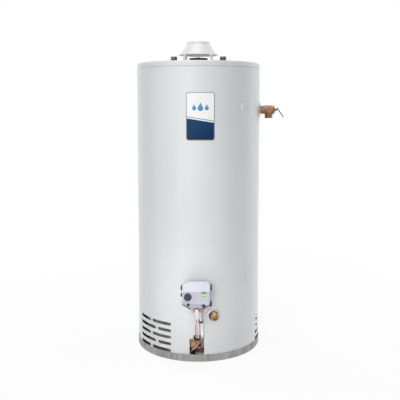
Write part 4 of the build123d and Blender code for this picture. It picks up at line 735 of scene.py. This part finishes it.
# fluted knob with a raised grip and a pale pointer; its rim is fluted between two heights
knob = {
    "back": 0.3534, "flutes": 20, "perFlute": 8, "cut": 0.0007,
    "rimFrom": 0.0120, "low": 0.0012, "high": 0.0078,
    "grip": (0.0060, 0.0245, 0.0054), "gripHeight": 0.0103, "gripRound": 0.0012,
    "pointer": (0.0011, 0.0070, 0.0003), "pointerPlace": (0, -0.0075, 0.01295), "pointerTaper": 0.5,
    "pointerRound": 0.0001,
    "outline": [
        (0.0030, 0.0), (0.0138, 0.0), (0.01425, 0.0006), (0.01425, 0.0016), (0.0139, 0.0050),
        (0.01365, 0.0076), (0.0132, 0.0087), (0.0124, 0.0090), (0.0112, 0.0089), (0.0104, 0.0084),
        (0.0094, 0.0082), (0.0030, 0.0082),
    ],
}
knobX, knobZ = coverArt["knob"]
knobAxis = Matrix.Translation((knobX, -knob["back"], knobZ)) @ Matrix.Rotation(radians(90), 4, "X")


def flute(angle, radius, height):
    if radius < knob["rimFrom"] or height < knob["low"] or height > knob["high"]:
        return 0.0
    return -knob["cut"] * (0.5 - 0.5 * cos(knob["flutes"] * angle)) ** 2


knobShape = turned(knob["outline"], knob["flutes"] * knob["perFlute"], flute, knobAxis)
gripCorners = block(knobShape, knobAxis @ Matrix.Translation((0, 0, knob["gripHeight"])), knob["grip"])
gripEdges = list({edge for corner in gripCorners for edge in corner.link_edges})
rounded(knobShape, gripEdges, knob["gripRound"], steps=3)
settle("flutedKnob", knobShape, plastic["knobSlate"], "gas_knob", ("gas_knob",))
pointer = bmesh.new()
pointerCorners = block(pointer, Matrix(), knob["pointer"])
for corner in pointerCorners:
    if corner.co.y < 0:
        corner.co.x *= knob["pointerTaper"]
pointerAxis = knobAxis @ Matrix.Translation(knob["pointerPlace"])
bmesh.ops.transform(pointer, verts=pointerCorners, matrix=pointerAxis)
rounded(pointer, pointer.edges[:], knob["pointerRound"], steps=1)
settle("knobPointer", pointer, plastic["markGrey"], "gas_knob")
print("knob made")

# black lip under the cover's lower corners; drop is how far its section goes out and down
trayLip = {
    "outer": (0.0520, -0.3462, 0.2592), "inner": (0.0205, -0.3296, 0.2366),
    "drop": (0.0012, -0.0021), "back": 0.0060, "round": 0.0006,
}
for side, word in ((-1, "left"), (1, "right")):
    lip = bmesh.new()
    out, down = trayLip["drop"]
    drop = Vector((side * out, 0, down))
    deep = Vector((0, trayLip["back"], 0))
    rows = []
    for x, y, z in (trayLip["outer"], trayLip["inner"]):
        near = Vector((side * x, y, z))
        rows.append([lip.verts.new(point) for point in (near, near + drop, near + drop + deep, near + deep)])
    skin(lip, rows)
    bmesh.ops.recalc_face_normals(lip, faces=lip.faces)
    rounded(lip, lip.edges[:], trayLip["round"], steps=2)
    settle(word + "TrayLip", lip, plastic["blackResin"])

# latch with a thumb pocket at the left of the cover's sill
sillLatch = {
    "place": (-0.0293, -0.3462, 0.2592), "size": (0.0094, 0.0090, 0.0108), "lean": 24, "round": 0.0016,
    "pocketRim": 0.0014, "pocket": 0.0012,
}
latch = bmesh.new()
latchLean = Matrix.Rotation(radians(sillLatch["lean"]), 4, "X")
block(latch, Matrix.Translation(sillLatch["place"]) @ latchLean, sillLatch["size"])
rounded(latch, latch.edges[:], sillLatch["round"], steps=3)
latch.normal_update()
thumbFace = min(latch.faces, key=lambda face: face.normal.y * face.calc_area())
bmesh.ops.inset_region(latch, faces=[thumbFace], thickness=sillLatch["pocketRim"],
                       depth=-sillLatch["pocket"], use_even_offset=True)
settle("sillLatch", latch, plastic["blackResin"])
print("control trim made")


def sleeved(name, stations, finish):
    # flattened sleeve lofted through (centre, half width, half depth, direction) stations
    segments = 28
    shape = bmesh.new()
    rings = []
    for centre, wide, deep, way in stations:
        along = Vector(way).normalized()
        side = Vector((0, 1, 0)).cross(along).normalized()
        front = along.cross(side)
        ring = []
        for i in range(segments):
            angle = 2 * pi * i / segments
            out = side * wide * cos(angle) + front * deep * sin(angle)
            ring.append(shape.verts.new(Vector(centre) + out))
        rings.append(ring)
    settle(name, skin(shape, rings), finish, crease=50)


# woven sleeve over the two leads below their plug
leadSleeve = (
    ((0.0010, -0.3283, 0.2358), 0.0046, 0.0024, (0, 0, -1)),
    ((0.0020, -0.3283, 0.2268), 0.0064, 0.0027, (0.1, 0, -1)),
    ((0.0032, -0.3282, 0.2184), 0.0079, 0.0030, (0.1, 0.05, -1)),
    ((0.0034, -0.3260, 0.2094), 0.0077, 0.0030, (0, 0.45, -1)),
    ((0.0028, -0.3184, 0.2000), 0.0068, 0.0030, (-0.1, 0.85, -1)),
    ((0.0020, -0.3110, 0.1914), 0.0060, 0.0028, (-0.05, 0.85, -1)),
)
sleeved("leadSleeve", leadSleeve, plastic["sleeveWhite"])

# red crimp barrel on the pale lead, just inside the opening: (distance, radius) steps along it
leadCrimp = {
    "from": Vector((0.0165, -0.2367, 0.0768)), "way": Vector((-0.652, 0.042, -0.757)),
    "steps": ((0.0006, 0.0019), (0.0012, 0.0026), (0.0030, 0.0028), (0.0040, 0.0024), (0.0050, 0.0028),
              (0.0086, 0.0028), (0.0096, 0.0019)),
}
crimpWay = leadCrimp["way"]
crimpRings = [(leadCrimp["from"] + crimpWay * step, r, r, crimpWay) for step, r in leadCrimp["steps"]]
sleeved("leadCrimp", crimpRings, plastic["crimpRed"])

# black boot that ties the leads and the pilot tube together in front of the grommet
leadBoot = {
    "from": Vector((-0.0135, -0.2665, 0.1042)), "to": Vector((0.0105, -0.2665, 0.0926)),
    "steps": ((0.0, 0.0014, 0.0020), (0.06, 0.0032, 0.0042), (0.16, 0.0043, 0.0056), (0.5, 0.0037, 0.0053),
              (0.84, 0.0043, 0.0056), (0.94, 0.0032, 0.0042), (1.0, 0.0014, 0.0020)),
}
bootStart = leadBoot["from"]
bootWay = leadBoot["to"] - bootStart
bootRings = [(bootStart + bootWay * step, wide, deep, bootWay) for step, wide, deep in leadBoot["steps"]]
sleeved("leadBoot", bootRings, plastic["blackRubber"])
print("sleeve, crimp and boot made")

# white room: pale floor that fades into the backdrop, soft lamps and a camera where the photograph was taken
studio = {
    "floorHalf": 20.0, "floorDrop": 0.0005, "chalk": 0.86, "nearGlow": 0.90, "fadeFrom": 0.35, "fadeTo": 2.2,
    "ambient": 0.10, "aim": 0.65,
}
floorMesh = bpy.data.meshes.new("studioFloor")
half = studio["floorHalf"]
floorCorners = [(-half, -half, 0), (half, -half, 0), (half, half, 0), (-half, half, 0)]
floorMesh.from_pydata(floorCorners, [], [(0, 1, 2, 3)])
floorPiece = bpy.data.objects.new("studioFloor", floorMesh)
floorPiece.location.z = -studio["floorDrop"]
bpy.context.scene.collection.objects.link(floorPiece)
floorLook = bpy.data.materials.new("studioFloor")
floorGraph = Graph(floorLook)
floorGraph.tree.nodes.remove(floorGraph.tree.nodes["Principled BSDF"])
floorSpot = floorGraph.add("ShaderNodeTexCoord", out="Object")
reach = floorGraph.add("ShaderNodeVectorMath", {"operation": "LENGTH"}, {0: floorSpot}, "Value")
white = floorGraph.between(reach, studio["fadeFrom"], studio["fadeTo"], studio["nearGlow"], 1.0)
chalk = floorGraph.add("ShaderNodeBsdfDiffuse", None, {"Color": (*[studio["chalk"]] * 3, 1)})
glow = floorGraph.add("ShaderNodeEmission", None, {"Color": (1, 1, 1, 1), "Strength": 1.0})
blend = floorGraph.add("ShaderNodeMixShader", None, {0: floorGraph.seen() * white, 1: chalk, 2: glow})
floorGraph.join(blend, floorGraph.tree.nodes["Material Output"].inputs["Surface"])
floorMesh.materials.append(floorLook)

world = bpy.data.worlds.new("studioWorld")
bpy.context.scene.world = world
room = Graph(world)
backdrop = room.tree.nodes["Background"].inputs
backdrop["Color"].default_value = (1, 1, 1, 1)
room.join(room.between(room.seen(), 0.0, 1.0, studio["ambient"], 1.0), backdrop["Strength"])

# azimuth goes round from the front; aim is the height looked at, and spread narrows the beam
lamps = {
    "stripBox": {"azimuth": -22, "away": 1.25, "height": 0.85, "wide": 0.60, "tall": 1.9, "power": 4.3,
                 "shine": True},
    "frontBox": {"azimuth": -6, "away": 3.0, "height": 1.4, "wide": 1.6, "tall": 1.8, "power": 12.8},
    "rightBox": {"azimuth": 120, "away": 3.0, "height": 1.1, "wide": 1.2, "tall": 2.4, "power": 58.0},
    "leftBox": {"azimuth": -138, "away": 3.0, "height": 1.1, "wide": 1.2, "tall": 2.4, "power": 64.0},
    "lowBox": {"azimuth": 0, "away": 1.7, "height": 0.85, "wide": 0.8, "tall": 0.6, "power": 4.4,
               "aim": 0.15},
    "sillBox": {"azimuth": -8, "away": 1.9, "height": 0.75, "wide": 0.2, "tall": 0.2, "power": 0.068,
                "aim": 0.16, "spread": 18},
    "topBox": {"azimuth": -20, "away": 0.6, "height": 3.4, "wide": 1.8, "tall": 1.8, "power": 33.0,
               "shine": True},
}
for name, box in lamps.items():
    lamp = bpy.data.lights.new(name, "AREA")
    lamp.shape = "RECTANGLE"
    lamp.size = box["wide"]
    lamp.size_y = box["tall"]
    lamp.energy = box["power"]
    lamp.spread = radians(box.get("spread", 180))
    holder = bpy.data.objects.new(name, lamp)
    bpy.context.scene.collection.objects.link(holder)
    holder.location = around(box["away"], radians(box["azimuth"]), box["height"])
    sight = Vector((0, 0, box.get("aim", studio["aim"]))) - holder.location
    holder.rotation_euler = sight.to_track_quat("-Z", "Y").to_euler()
    holder.visible_camera = False
    holder.visible_glossy = box.get("shine", False)

# lens and place solved from the photograph's edges
shot = {
    "place": (0.07017, -2.65076, 1.0), "pitch": 5.21, "turn": 1.35,
    "lens": 56.91, "sensor": 36.0, "shiftX": -0.0008, "shiftY": -0.092,
}
lens = bpy.data.cameras.new("shot")
lens.sensor_fit = "HORIZONTAL"
lens.sensor_width = shot["sensor"]
lens.lens = shot["lens"]
lens.shift_x = shot["shiftX"]
lens.shift_y = shot["shiftY"]
camera = bpy.data.objects.new("shot", lens)
bpy.context.scene.collection.objects.link(camera)
camera.location = shot["place"]
camera.rotation_euler = (radians(90 - shot["pitch"]), 0, radians(shot["turn"]))
bpy.context.scene.camera = camera
bpy.context.scene.view_settings.view_transform = "Standard"
print("studio and camera set")
